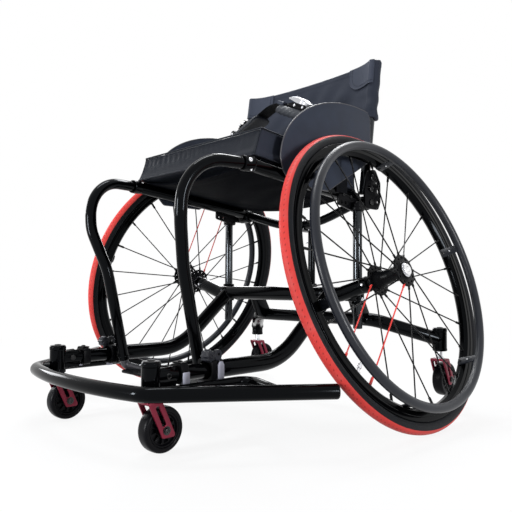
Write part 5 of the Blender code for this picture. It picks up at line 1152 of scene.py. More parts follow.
def rear_bar_skin(sizes):
    """The rear bar with its barrels, the plates up to the camber tube and the strut's sleeve."""
    path = rear_bar_path()
    size = sizes.rear_tube
    skin = Skin().tube(path, size, 40, 0.001)
    heights = (0.123, 0.123, 0.1245, 0.128, 0.1295, 0.1665, 0.168, 0.1725, 0.1755, 0.1762)
    outline = [(0.01, 0.238), (0.088, 0.238), (0.114, 0.185), (0.14, 0.183), (0.146, 0.205), (0.11, 0.264)]
    outline = softened(outline + [(0.01, 0.264)], 0.012)
    for sign in (1, -1):
        x, y = REAR_BARREL * np.array([sign, 1])
        caster_barrel(skin, x, y, heights, (0.1745, 0.1745, 0.177, 0.1776))
        run = unit(path[1] - path[0]) * (sign, 1, 1)
        skin.weld((x, y, 0.1485) + run * 0.05, -run, size, (x, y, 0), Z, 0.0155, 0.002)
        skin.screw((x - sign * 0.006, y - 0.015, 0.15), (sign * -0.4, -1, 0), 0.0036, 0.0022, 1)
        skin.plate([outline], 0.022, 0.0025, sign * 0.16 * X)
    sleeve = [(0.0093, 0.18), (0.0125, 0.18), (0.0125, 0.262), (0.0135, 0.2645), (0.0135, 0.274)]
    skin.turned(sleeve + [(0.0125, 0.276), (0.0093, 0.276)], STRUT_Y * Y, Z, 40, closed=True, soft=0.0006)
    skin.weld((0, STRUT_Y, 0.24), -Z, 0.0125, (0, STRUT_Y, REAR_BAR_Z), X, size, 0.0018)
    return skin.screw((0, STRUT_Y - 0.0132, 0.269), -Y, 0.0034, 0.0022, 1)


# Casters


def caster_hub(place):
    """The middle of a caster's wheel."""
    x, y, lift, _ = CASTERS[place]
    return np.array([x, y + CASTER_TRAIL, lift + CASTER_RADIUS])


def fork_skin(place):
    """Two swept legs with a long slot under a crown, and the stem with its bearing washers."""
    x, y, lift, top = CASTERS[place]
    origin = np.array([x, y, lift])
    skin = Skin()
    low_y, high_y, half = 0.0255, -0.0025, 0.0135
    low_z, high_z = 0.026, 0.086
    leg = [(low_y - half, low_z), (low_y + half, low_z), (high_y + half, high_z), (high_y - half, high_z)]
    slope = (low_y - high_y) / (high_z - low_z)
    slot = []
    for drop, turn in ((0.011, 0.0), (0.037, math.pi)):
        arc = 0.004 * directions(turn + np.linspace(0, math.pi, 9))
        slot.append(arc + (high_y + slope * drop, high_z - drop))
    hole = circle(24) * 0.0043 + (CASTER_TRAIL, CASTER_RADIUS)
    outlines = [softened(leg, 0.004), np.concatenate(slot), hole]
    for side in (1, -1):
        skin.plate(outlines, 0.0035, 0.0007, origin + side * 0.01525 * X)
    crown = rectangle(-0.0165, 0.0165, high_y - half, high_y + half, 0.003)
    skin.plate([crown], 0.005, 0.0008, origin + (0, 0.0005, 0.0835), LEVEL)
    stem = [(POLE, 0.084), (0.009, 0.084), (0.009, 0.0878), (0.0078, 0.0885), (0.0078, 0.09), (0.006, 0.0905)]
    stem += [(0.006, top - lift - 0.011), (POLE, top - lift - 0.01)]
    return skin.turned(stem, origin, Z, 32, soft=0.0005, material=1)


def caster_wheel_skin(place):
    """A moulded tyre on a core with ten pockets each side; the tyre's section is an oval."""
    hub = caster_hub(place)
    cosine, sine = directions(np.linspace(0, FULL_TURN, 40, endpoint=False)).T
    section = np.stack([0.0325 + 0.0055 * fuller(cosine, 0.62), 0.0118 * fuller(sine, 0.62)], axis=-1)
    skin = Skin().turned(section, hub, X, 72, closed=True)
    bore = circle(32) * 0.0044
    windows = []
    reach = np.array([(0.0128, -0.19), (0.0128, 0.19), (0.0232, 0.21), (0.0232, -0.21)])
    for turn in np.arange(10) * FULL_TURN / 10:
        windows.append(softened(reach[:, :1] * directions(turn + reach[:, 1]), 0.0016))
    skin.plate([circle(72) * 0.0275, bore] + windows, 0.013, 0.0008, hub, material=1)
    skin.plate([circle(72) * 0.025, bore], 0.004, 0.0005, hub, material=1)
    ring = [(0.0235, 0.006), (0.026, 0.0104), (0.028, 0.0104), (0.0285, 0.006)]
    boss = [(0.0044, 0.004), (0.011, 0.006), (0.0104, 0.0114), (0.0085, 0.0119), (0.0044, 0.0119)]
    for side in (1, -1):
        skin.turned(ring, hub, side * X, 72, closed=True, soft=0.0006, material=1)
        skin.turned(boss, hub, side * X, 40, closed=True, soft=0.0008, material=1)
    return skin


def caster_axle_skin(place):
    """The caster's axle bolt: a button head on each side with a round recess."""
    hub = caster_hub(place)
    skin = Skin().turned([(POLE, -0.0175), (0.004, -0.0175), (0.004, 0.0175), (POLE, 0.0175)], hub, X, 24)
    washer = [(0.004, 0.0173), (0.0072, 0.0173), (0.0072, 0.0182), (0.004, 0.0182)]
    for side in (1, -1):
        skin.turned(washer, hub, side * X, 32, closed=True)
        skin.screw(hub + side * 0.018 * X, side * X, 0.0052, 0.003)
    return skin


# Seat, backrest, guards and belt


def sling_section(y, columns):
    """The sling's middle line at one place: round the rail, then a shallow curve low + bend * x * x."""
    reach = 0.0125 + GAP + 0.00125
    low, high = 0.01, 1.4
    for _ in range(40):
        angle = (low + high) / 2
        x = RAIL_X - reach * math.sin(angle)
        if reach * math.cos(angle) - x * math.tan(angle) / 2 + SLING_DIP > 0:
            low = angle
        else:
            high = angle
    wrap = np.linspace(-math.radians(38), angle, 9)
    round_rail = (RAIL_X, 0) + reach * directions(wrap)[:, ::-1] * (-1, 1)
    edge = round_rail[-1, 0]
    across = np.linspace(edge, -edge, columns)[1:-1]
    bend = math.tan(angle) / (2 * edge)
    middle = np.stack([across, bend * across ** 2 - SLING_DIP], axis=-1)
    line = np.concatenate([round_rail, middle, round_rail[::-1] * (-1, 1)])
    return np.stack([line[:, 0], np.full(len(line), y), line[:, 1] + rail_z(y)], axis=-1)


def sling_skin():
    """The seat sling: its section along the seat, slack that ripples near its middle, hems front and back."""
    middle = np.stack([sling_section(y, 61) for y in np.linspace(-0.243, 0.072, 60)])
    x, y = middle[..., 0], middle[..., 1]
    slack = np.clip(1 - np.abs(x) / 0.165, 0, 1) ** 0.5
    ripple = 0.001 * slack * np.sin(y * 95 + 3 * np.sin(x * 21)) * np.exp(-((y + 0.05) / 0.13) ** 2)
    middle = middle + ripple[..., None] * Z
    normal = unit(np.cross(np.gradient(middle, axis=1), np.gradient(middle, axis=0)))
    half = 0.0009 + 0.0006 * ((y < -0.221) | (y > 0.05))
    return sheet_skin(middle + normal * half[..., None], middle - normal * half[..., None])


def sheet_skin(upper, lower):
    """A closed sheet from the grids of its two faces, joined round the edge."""
    rows, columns = upper.shape[:2]
    girth = lengths(upper[rows // 2])
    girth = np.concatenate([girth, girth[::-1], girth[:1]])
    loop = np.concatenate([upper, lower[:, ::-1]], axis=1)
    return Skin().grid(loop, run=lengths(upper[:, columns // 2]), girth=girth)


def box_panels(half, edge, counts):
    """The six panels of a box with rounded edges, as grids of points and their place on each panel: a point
    is pulled in to the inner box and pushed out again by the edge radius."""
    inner = half - edge
    for axis in range(3):
        u, v = [k for k in range(3) if k != axis]
        a, b = (panel_steps(half[k], edge, counts[k]) for k in (u, v))
        for sign in (1, -1):
            grid = np.zeros((len(a), len(b), 3))
            grid[..., u] = a[:, None]
            grid[..., v] = b[None]
            grid[..., axis] = sign * half[axis]
            core = np.clip(grid, -inner, inner)
            yield core + edge * unit(grid - core), a, b


def panel_steps(half, edge, count):
    """Even steps over the flat of a panel, and finer ones, by angle, over its rounded edges."""
    bend = half - edge + edge * np.tan(np.linspace(0, math.pi / 4, 5))[1:]
    flat = np.linspace(-(half - edge), half - edge, count)
    return np.concatenate([-bend[::-1], flat, bend])


def cushion_shape(points, soft):
    """From a box about the origin to the cushion's place: the top crowned, the sides drawn in between their
    seams, the front face slanted back, and the whole laid on the falling rails."""
    x, y, _ = np.moveaxis(points, -1, 0)
    u, v, t = np.moveaxis(points / CUSHION_HALF, -1, 0)
    crown = (1 - np.abs(u) ** 2.6) * (1 - np.abs(v) ** 3.0)
    lift = np.where(t > 0, soft.cushion_crown * crown * t, 0)
    belly = np.cos(np.clip(t, -1, 1) * math.pi / 2)
    pull = -0.0022 * belly * np.clip((np.abs(u) - 0.9) / 0.1, 0, 1)
    front_pull = -0.0018 * belly * np.clip((-v - 0.9) / 0.1, 0, 1)
    gather = np.exp(-((t - 0.42) / 0.34) ** 2) * np.clip((-v - 0.86) / 0.14, 0, 1)
    far = 0.55 - 0.45 * np.tanh((x + 0.02) / 0.06)
    pleat = soft.wrinkle_depth * gather * far * np.abs(np.sin(x * 190 + t * 1.8 + 0.8 * np.sin(x * 31))) ** 3
    dimple = 0.0016 * np.sin(x * 33 + 0.7) * np.sin(y * 27) * np.clip(t, 0, 1) * (1 - v ** 4) * (1 - u ** 4)
    slant = 0.021 * (t + 1) / 2 * np.clip(0.5 - v / 2, 0, 1)
    there_y = (CUSHION_FRONT + CUSHION_BACK) / 2 + y + slant + np.sign(v) * front_pull * (v < 0) - pleat * 0.9
    bottom = rail_z(there_y) + 0.0125 + 0.0025 + 0.0006
    there_z = bottom + (t + 1) / 2 * (CUSHION_THICK - 0.001) + lift + dimple * 0.5
    return np.stack([x + np.sign(x) * pull, there_y, there_z], axis=-1)


def cushion_skin(soft):
    """Six sewn panels of a box cushion, filled by simulation; the side panels take the second cloth."""
    box = Skin()
    for grid, a, b in box_panels(CUSHION_HALF, CUSHION_BEND, (64, 54, 11)):
        box.grid(grid, round_columns=False, caps=False, run=a, girth=b)
    start, end, quads = filled(box)
    room = np.sort(CUSHION_HALF - np.abs(start), axis=1)[:, 1]
    loose = smooth(room / 0.016) * np.clip((start[:, 2] / CUSHION_HALF[2] + 0.6) / 0.4, 0, 1)
    move = (end - start) * loose[:, None]
    size = np.linalg.norm(move, axis=1, keepdims=True)
    points = start + move * np.minimum(1, soft.fill_cap / np.maximum(size, 1e-9))
    skin = Skin()
    panel = np.argmin(CUSHION_HALF - np.abs(start[quads].mean(axis=1)), axis=1)
    for axis, across in enumerate(((1, 2), (0, 2), (0, 1))):
        chosen = quads[panel == axis]
        skin.faces.append((chosen, 1 if axis == 0 else 0, start[chosen][..., across]))
    skin.points.append(cushion_shape(points, soft))
    return skin


def filled(skin):
    """A closed skin remeshed evenly and blown up as cloth under pressure for twenty frames: its points
    before and after, and its quads."""
    mesh = bpy.data.meshes.new("filling")
    faces = np.concatenate([face for face, _, _ in skin.faces])
    mesh.from_pydata(np.concatenate(skin.points).tolist(), [], faces.tolist())
    holder = placed("filling", mesh)
    scene = bpy.context.scene
    remesh = holder.modifiers.new("even", "REMESH")
    remesh.mode = "VOXEL"
    remesh.voxel_size = 0.0055
    even = seen_mesh(holder)
    holder.modifiers.clear()
    holder.data = even
    start = end = numbers(even.vertices, "co", 3)
    cloth = holder.modifiers.new("cloth", "CLOTH")
    cloth.settings.use_pressure = True
    cloth.settings.uniform_pressure_force = 4.0
    cloth.settings.effector_weights.gravity = 0.0
    cloth.point_cache.frame_start = 1
    cloth.point_cache.frame_end = 20
    for step in range(1, 21):
        scene.frame_set(step)
    swelled = seen_mesh(holder)
    end = numbers(swelled.vertices, "co", 3)
    bpy.data.meshes.remove(swelled)
    scene.frame_set(1)
    quads = numbers(even.loops, "vertex_index").reshape(-1, 4)
    bpy.data.objects.remove(holder)
    bpy.data.meshes.remove(even)
    bpy.data.meshes.remove(mesh)
    return start, end, quads


def cushion_edge(soft, t):
    """The line of one seam of the cushion: its box outline at one height, carried to the cushion's place."""
    side, end, high = CUSHION_HALF - (0.0005, 0, 0)
    outline = rectangle(-side, side, -end, end, CUSHION_BEND, 5)
    parts = []
    for p, q in zip(outline, np.roll(outline, -1, axis=0)):
        parts.append(np.linspace(p, q, max(2, int(np.linalg.norm(q - p) / 0.006)), endpoint=False))
    outline = np.concatenate(parts)
    return cushion_shape(np.column_stack([outline, np.full(len(outline), high * t)]), soft)


def piping_skin(soft):
    """Corded piping round the top and bottom seams, and down the four upright corners."""
    skin = Skin()
    for t in (CUSHION_SEAM, -CUSHION_SEAM):
        skin.ring(cushion_edge(soft, t), soft.piping_radius, 10)
    rise = np.linspace(-CUSHION_SEAM, CUSHION_SEAM, 14)[:, None] * CUSHION_HALF * Z
    for x in (1, -1):
        for y in (-1, 1):
            line = rise + (CUSHION_HALF - 0.0025) * (x, y, 0)
            skin.tube(cushion_shape(line, soft), soft.piping_radius * 0.8, 10, 0.0004)
    return skin


def cover_grid(rows):
    """The closed section of the backrest's cloth, carried up it: pockets round both posts, joined by a slack
    band that sags to the rear between them as 1 - u squared."""
    along = np.linspace(*COVER_SPAN, rows)
    pocket = COVER_RADIUS * directions(np.radians(np.linspace(-90, 90, 15))) + (BACK_POST_X, 0)
    u = np.linspace(1, -1, 81)[1:-1]
    sag = COVER_SAG * (1 - u * u)
    half = COVER_HALF + (COVER_RADIUS - COVER_HALF) * np.abs(u) ** 9
    front, rear = (np.stack([BACK_POST_X * u, sag + side * half], axis=-1) for side in (-1, 1))
    ring = np.concatenate([pocket, rear, (pocket * (-1, 1))[::-1], front[::-1]])
    points = np.zeros((rows, len(ring), 3))
    points[..., 0] = ring[None, :, 0]
    points[..., 1] = HINGE[0] + along[:, None] * math.sin(BACK_LEAN) + ring[None, :, 1] * math.cos(BACK_LEAN)
    points[..., 2] = HINGE[1] + along[:, None] * math.cos(BACK_LEAN) - ring[None, :, 1] * math.sin(BACK_LEAN)
    return points, along, ring


def upholstery_skin():
    """The backrest's cloth over its posts: tension folds run in from the pockets, hems stand proud at the top
    and bottom, and the lower corners gather into their cuffs."""
    points, along, ring = cover_grid(70)
    low, high = COVER_SPAN
    s = ((along - low) / (high - low))[:, None]
    x = ring[None, :, 0]
    n = np.abs(x) / BACK_POST_X
    sag = COVER_SAG * (1 - np.clip(n, 0, 1) ** 2)
    fold = 0.0022 * np.sin((s * 0.9 + 0.25 * n) * 24 + 1.5 * np.sin(x * 14)) * n ** 2 * (1 - s) ** 1.2
    slack = 0.0042 * np.sin(x * 26 + s * 3.2) * np.sin(s * math.pi) * (1 - n ** 4)
    crease = 0.0026 * np.sin(x * 190 + s * 12) * np.exp(-(s / 0.22) ** 2) * np.clip(n, 0, 1) ** 6
    drawn = 0.0017 * np.sin(x * 75 - s * 9 + 2 * np.sin(x * 11)) * (1 - n ** 6) * np.sin(s * math.pi)
    hem = 0.0007 * ((s > 0.9) | (s < 0.09)) * np.where(ring[None, :, 1] < sag, -1.0, 1.0)
    round_end = np.sqrt(np.clip(1 - np.clip((np.abs(s - 0.5) - 0.485) / 0.015, 0, 1) ** 2, 0, 1))
    centre = points.copy()
    centre[..., 1] -= (ring[None, :, 1] - sag) * math.cos(BACK_LEAN)
    points = centre + (points - centre) * (0.35 + 0.65 * round_end)[..., None]
    points[..., 1] += fold + slack + crease + drawn + hem
    return Skin().grid(points, run=along)


def patch_point(x, along, lift):
    """Points just in front of the backrest's cloth, at a place across and a height up it."""
    near = np.clip(np.abs(x) / BACK_POST_X, 0, 1)
    half = COVER_HALF + (COVER_RADIUS - COVER_HALF) * near ** 9
    over = np.clip((x - BACK_POST_X) / COVER_RADIUS, 0, 1)
    pocket = COVER_RADIUS * np.sqrt(1 - over ** 2)
    out = lift + np.where(x > BACK_POST_X, pocket, half - COVER_SAG * (1 - near ** 2))
    base_y = HINGE[0] + along * math.sin(BACK_LEAN)
    base_z = HINGE[1] + along * math.cos(BACK_LEAN)
    return np.stack([x, base_y - out * math.cos(BACK_LEAN), base_z + out * math.sin(BACK_LEAN)], axis=-1)


def patch_skin(sign):
    """A reinforcing patch on the backrest's upper corner: a thin sheet whose lower inner corner is a quarter
    circle, with a corded edge and a row of stitches inside it."""
    width, height = PATCH_SIZE
    drop = np.linspace(0, height, 40)
    low = np.clip(drop - (height - PATCH_ROUND), 0, PATCH_ROUND * 0.999)
    reach = width - PATCH_ROUND + np.sqrt(PATCH_ROUND ** 2 - low ** 2)
    outer = BACK_POST_X + 0.01
    x = outer - reach[:, None] * np.linspace(0, 1, 48)
    along = (PATCH_TOP - drop)[:, None] + x * 0
    flip = np.array([sign, 1, 1])
    skin = sheet_skin(patch_point(x, along, 0.0034) * flip, patch_point(x, along, 0.0004) * flip)
    bottom = np.column_stack([np.linspace(outer - reach[-1], outer, 16)[1:], np.full(15, along[-1, 0])])
    border = np.concatenate([np.column_stack([x[:, -1], along[:, 0]]), bottom])
    skin.tube(patch_point(*border.T, 0.003) * flip, 0.0012, 8, 0.0004, Y)
    inside = border + ((outer, PATCH_TOP) - border) * 0.1
    place = fine_path(patch_point(*inside.T, 0.0036) * flip, 0.0011)
    stitch = 0.0005 * (0.55 + 0.45 * np.sin(lengths(place) * FULL_TURN / 0.0042))
    return skin.tube(place, stitch, 6, 0.0001, Y, 1)


def back_post_skin(sizes):
    """A back post with its hinge pin and its stud, each with a flat head outside the slotted plate."""
    skin = Skin().tube([post_point(-0.0365), post_point(0.276)], sizes.back_tube, 36, 0.0016)
    for drop in (0.0, -0.026):
        pin = post_point(drop)
        head = np.array([0.2137, *pin[1:]])
        skin.tube([(BACK_POST_X, *pin[1:]), head], 0.004, 20, 0.0002, material=1)
        skin.screw(head, X, 0.0066, 0.0026, 1)
    for along in (0.02, 0.06, 0.11):
        skin.screw(post_point(along) + (0, -0.0108, 0.0016), (0, -1, 0.15), 0.002, 0.001, 1)
    return skin


def back_bracket_skin():
    """The slotted plate: hinge hole, curved slot, lightening holes, and the bolt into the arched tube."""
    hinge = np.array(HINGE)
    y, z = hinge
    base = CROSS[1]
    outline = [(y - 0.024, base - 0.014), (y + 0.026, base - 0.014), (y + 0.036, base + 0.004)]
    outline += [(y + 0.036, base + 0.048), (y + 0.016, z + 0.02), (y - 0.012, z + 0.016)]
    outline += [(y - 0.026, base + 0.024)]
    slot = []
    for middle, lead in ((BACK_LEAN - math.radians(3), 0.0), (BACK_LEAN + math.radians(15), math.pi)):
        centre = hinge - 0.026 * directions(middle)[::-1]
        slot.append(centre + 0.0043 * directions(np.linspace(-math.pi / 2, math.pi / 2, 9) + lead - middle))
    holes = [circle(24) * 0.0043 + hinge, np.concatenate(slot)]
    for size, at in (
        ((0.0048, 0.0062), (y + 0.022, z - 0.007)),
        (0.0042, (y + 0.026, base + 0.004)),
        ((0.0042, 0.007), (y + 0.027, (base + z) / 2)),
    ):
        holes.append(circle(20) * size + at)
    skin = Skin().plate([softened(outline, 0.009)] + holes, 0.005, 0.0008, 0.21 * X)
    return skin.nut((0.2122, *CROSS), X, 0.0068, 0.0038, 1)


def guard_skin():
    """The flat guard with an elliptical upper edge and rounded rims, on two stand-off studs; the rim bead
    takes the lighter grey metal finish, a painted highlight along the edge.
    """
    middle, half = np.array([0.036, 0.51]), np.array([0.24, 0.15])
    rear = 0.082
    arc = middle + half * directions(np.linspace(math.acos((rear - middle[0]) / half[0]), math.pi, 60))
    foot = [arc[-1], (-0.196, 0.488), (-0.172, 0.465), (-0.06, 0.465), (0.092, 0.55)]
    foot = softened(foot + [(0.092, arc[0, 1] - 0.012), arc[0]], 0.01, closed=False)
    outline = np.concatenate([arc[:-1], foot[:-1]])
    plane = 0.207
    skin = Skin().plate([outline], 0.0022, 0.0006, plane * X)
    # The rim bead is a real rounded edge; its lighter grey metal finish is a painted highlight along it.
    skin.ring(np.insert(outline, 0, plane, axis=1), 0.0014, 8, X, 2)
    for y in (-0.15, -0.085):
        z = rail_z(y)
        skin.tube([(RAIL_X + 0.0128, y, z), (plane - 0.001, y, z)], 0.006, 24, 0.0004)
        skin.screw((plane + 0.0011, y, z), X, 0.0052, 0.002, 1)
    return skin


def strap(skin, path, width=BELT_WIDTH, thickness=BELT_THICK):
    """A flat strap along a path, its edges rounded; across is told from its middle."""
    half, thin = width / 2, thickness / 2
    ends = rectangle(-half, half, -thin, thin, thin * 0.9, 3)
    flat = np.linspace(-half + thickness, half - thickness, 9)[1:-1]
    under, over = (np.column_stack([flat, np.full(7, side)]) for side in (-thin, thin))
    section = np.concatenate([ends[:4], under, ends[4:12], over[::-1], ends[12:]])
    girth = np.append(section[:, 0], section[0, 0])
    return skin.grid(carried(path, section, Y), run=lengths(path), girth=girth)


def fine_path(path, step=0.004):
    """The same path with points at an even pace."""
    reach = lengths(path)
    at = np.linspace(0, reach[-1], max(3, int(reach[-1] / step)))
    return np.stack([np.interp(at, reach, path[:, k]) for k in range(3)], axis=-1)


def left_belt_skin():
    """The left strap from its anchor over the shoulder to the buckle, and the buckle's base and cheeks."""
    shoulder, along, up = belt_run(1)
    start = shoulder + along * BUCKLE_START
    corners = [(BELT_X, 0, BELT_ANCHOR_Z), shoulder, start + along * 0.01]
    skin = strap(Skin(), fine_path(bent_path(corners, (0.03,))))
    strap(skin, start + up * 0.0022 - along * np.array([[0.045], [0.002]]), 0.03, 0.002)
    base = [(0.0, -0.0175), (0.062, -0.0175), (0.068, -0.01), (0.068, 0.01), (0.062, 0.0175), (0.0, 0.0175)]
    skin.plate([softened(base, 0.004)], 0.006, 0.0012, start + up * 0.001, (along, Y, up), 1)
    cheek = [(0.002, -0.006), (0.06, -0.006), (0.06, 0.006), (0.048, 0.0112), (0.008, 0.0112), (0.002, 0.004)]
    for side in (1, -1):
        skin.plate([softened(cheek, 0.004)], 0.0045, 0.0009, start + side * 0.0145 * Y, (along, up, Y), 1)
        for reach, rise, size in ((0.014, 0.006, 0.003), (0.04, 0.005, 0.0028)):
            skin.screw(start + along * reach + up * rise + side * 0.0168 * Y, side * Y, size, 0.0014, 2)
    return skin


def right_belt_skin():
    """The right strap from the buckle over the crest to its anchor, with the sleeve that joins it to the
    buckle, and the fitting with two rollers and a button on its way down."""
    shoulder, along, up = belt_run(1)
    start = shoulder + along * (BUCKLE_START + BUCKLE_LENGTH + GAP)
    far, far_along, far_up = belt_run(-1)
    corners = [start, (BELT_CREST[0], 0, BELT_CREST[1]), far, (-BELT_X, 0, BELT_ANCHOR_Z)]
    skin = strap(Skin(), fine_path(bent_path(corners, (0.08, 0.03))))
    sleeve = rectangle(-0.0225, 0.0225, -0.0052, 0.0034, 0.0024)
    skin.grid(carried(start + along * np.array([[0.003], [0.021]]), sleeve, Y), material=3)
    near = far + far_along * 0.104
    base = rectangle(-0.004, 0.034, -0.021, 0.021, 0.005)
    skin.plate([base], 0.0095, 0.0016, near + far_up * 0.0016, (far_along, Y, far_up), 1)
    for reach in (0.112, 0.128):
        roller = far + far_along * reach + far_up * 0.0078
        skin.tube([roller - 0.0225 * Y, roller + 0.0225 * Y], 0.004, 20, 0.001, material=1)
        skin.screw(roller - 0.0228 * Y, -Y, 0.0026, 0.0012, 2)
    button = near - far_along * 0.014 - far_up * 0.006 - 0.024 * Y
    profile = [(POLE, -0.01), (0.0085, -0.008), (0.0095, 0.0), (0.0085, 0.008), (POLE, 0.01)]
    skin.turned(profile, button, Y, 28, soft=0.002, material=1)
    return skin.screw(button - 0.0098 * Y, -Y, 0.003, 0.0014, 2)


def lever_skin():
    """The ratchet lever: a domed channel over the cheeks, its sides turned down and tapering to the tip. Its
    short rear end is narrow, so that it swings down between the cheeks when the tip is lifted."""
    shoulder, along, up = belt_run(1)
    hinge = shoulder + along * (BUCKLE_START + 0.014) + up * 0.009
    share = np.linspace(0, 1, 30)
    lift = 0.0046 + 0.0085 * np.sin(share * math.pi * 0.92) ** 0.8
    path = hinge + along * (0.0555 * share - 0.0055)[:, None] + up * lift[:, None]
    half = 0.0113 + 0.0045 * smooth((share - 0.12) / 0.18) * (1 - 0.12 * share)
    wall = 0.0016 + 0.0085 * np.sin(np.clip(share * 1.04, 0, 1) * math.pi) ** 0.9
    cosine, sine = directions(np.radians(np.linspace(-90, 90, 15))).T
    out = np.r_[-1.0, fuller(sine, 0.45), 1.0]
    dome = np.r_[0.0, np.abs(cosine) ** 0.75, 0.0]
    down = np.r_[1.0, np.zeros(15), 1.0]
    faces = []
    for inset in (0.0, 0.0014):
        skirt = np.maximum(wall - inset, 0.0004)[:, None]
        rise = dome * (0.0036 - inset * 0.4) - inset - down * skirt
        faces.append(np.stack([out * (half - inset)[:, None], rise], axis=-1))
    skin = Skin().grid(carried(path, np.concatenate([faces[0], faces[1][:, ::-1]], axis=1), -Y))
    return skin.tube([hinge - 0.0117 * Y, hinge + 0.0117 * Y], 0.0028, 20, 0.0006)


def pad_skin(sign, first, last):
    """A soft pad under the belt: a flattened tube along the strap whose front edge hangs over it."""
    front, rear, sink = 0.044, 0.028, 0.016
    shoulder, along, up = belt_run(sign)
    share = np.linspace(0, 1, 64)
    path = shoulder + along * (first + (last - first) * share)[:, None] - up * 0.0068
    end = np.sqrt(np.clip(1 - np.abs(2 * share - 1) ** 10, 0.02, 1))[:, None]
    cosine, sine = directions(np.linspace(0, FULL_TURN, 72, endpoint=False)).T
    across = (rear - front) / 2 + (rear + front) / 2 * end * fuller(cosine, 0.55)
    over = np.clip((-across - BELT_WIDTH / 2) / (front - BELT_WIDTH / 2), 0, 1)
    ripple = 0.0008 * np.sin(share * 70)[:, None] * over
    rise = 0.005 * end ** 0.5 * fuller(sine, 0.8) - sink * over ** 2 + ripple
    return Skin().grid(carried(path, np.stack([across, -sign * rise], axis=-1), Y), run=lengths(path))


# Properties


def colour_property(name, description, default):
    return bpy.props.FloatVectorProperty(
        name=name, description=description, subtype="COLOR", size=3, min=0, max=1, default=default
    )


def length_property(name, description, default):
    kind = {"subtype": "DISTANCE", "unit": "LENGTH", "min": 0.0001, "precision": 5}
    return bpy.props.FloatProperty(name=name, description=description, default=default, **kind)


class WheelSizes(bpy.types.PropertyGroup):
    """Sizes of the drive wheels"""

    wheel_radius: length_property("Wheel radius", "From the axle to the tyre's crown", 0.305)
    tyre_radius: length_property("Tyre radius", "Half the width of the tyre", 0.0122)
    handrim_radius: length_property(
        "Handrim radius", "From the axle to the middle of the handrim's tube", 0.2635
    )
    handrim_tube: length_property("Handrim tube", "Radius of the handrim's tube", 0.0087)
    spoke_radius: length_property("Spoke radius", "Radius of a spoke between its ends", 0.0014)
    spoke_count: bpy.props.IntProperty(
        name="Spokes", description="Spokes in each drive wheel", default=24, min=8, max=48
    )


class FrameSizes(bpy.types.PropertyGroup):
    """Tube radii of the frame"""

    main_tube: length_property("Main tube", "Radius of the camber tube and the side tubes", 0.016)
    loop_tube: length_property("Loop tube", "Radius of the front loops", 0.0114)
    bumper_tube: length_property("Bumper tube", "Radius of the bumper", 0.0125)
    brace_tube: length_property("Brace tube", "Radius of the bumper's inner braces", 0.0095)
    rail_tube: length_property("Rail tube", "Radius of the seat rails", 0.0125)
    cross_tube: length_property("Cross tube", "Radius of the arched tube under the seat", 0.0105)
    post_tube: length_property("Height post", "Radius of the height posts", 0.01)
    strut_tube: length_property("Strut", "Radius of the centre strut", 0.009)
    rear_tube: length_property("Rear bar", "Radius of the rear bar", 0.0155)
    back_tube: length_property("Back post", "Radius of the back posts", 0.011)


class SoftSizes(bpy.types.PropertyGroup):
    """Sizes of the soft parts"""

    cushion_crown: length_property("Cushion crown", "How far the cushion's top rises at its middle", 0.003)
    piping_radius: length_property("Piping", "Radius of the piping in the cushion's seams", 0.0016)
    fill_cap: length_property("Filling", "How far the simulated filling may push a panel out", 0.005)
    wrinkle_depth: length_property("Wrinkles", "Depth of the pleats along the cushion's front seam", 0.0034)


class Finishes(bpy.types.PropertyGroup):
    """Colours of the finishes"""

    paint_black: colour_property("Frame paint", "Gloss paint of the tubes", (0.001, 0.001, 0.0013))
    satin_black: colour_property("Satin black", "Anodised and blasted parts", (0.0035, 0.0036, 0.0044))
    tyre_red: colour_property("Tyre red", "Tread of the tyres", (0.72, 0.06, 0.052))
    spoke_red: colour_property("Spoke red", "The two red spokes of each wheel", (0.8, 0.04, 0.03))
    fork_crimson: colour_property("Fork crimson", "Anodised caster forks", (0.165, 0.0095, 0.027))
    steel: colour_property("Steel", "Screws, axle caps and plates", (0.8, 0.81, 0.84))
    cloth_black: colour_property("Cloth", "Coated cloth of the seat", (0.0075, 0.0085, 0.012))
    tread_edge: length_property(
        "Tread edge", "From the crown to where the red tread meets the black sidewall", 0.0128
    )


# Operators


class Maker:
    """What the piece operators share: each builds its pieces."""

    bl_options = {"REGISTER", "UNDO"}

    def execute(self, context):
        self.build(context.scene)
        return {"FINISHED"}


WHEELS = [(side, "drive_wheel_" + side, wheel_place(sign)) for side, sign in SIDES]


class WHEELCHAIR_OT_tyres(Maker, bpy.types.Operator):
    """Red tyres with black sidewalls"""

    bl_idname = "wheelchair.tyres"
    bl_label = "Tyres"

    def build(self, scene):
        skin = tyre_skin(scene.wheelchair_wheels)
        for side, body, place in WHEELS:
            skin.moved(place).piece("tyre_tread_" + side, body, ["tyre"], ["tyre_" + side], "red_tyre")


class WHEELCHAIR_OT_rims(Maker, bpy.types.Operator):
    """Deep gloss rims with their valves"""

    bl_idname = "wheelchair.rims"
    bl_label = "Rims"

    def build(self, scene):
        rim = rim_skin(scene.wheelchair_wheels)
        valve = valve_skin(scene.wheelchair_wheels)
        for side, body, place in WHEELS:
            rim.moved(place).piece("deep_rim_" + side, body, ["rim"], ["rim_" + side], "gloss_black")
            valve.moved(place).piece("valve_" + side, body, ["steel"], slot="bright_steel")


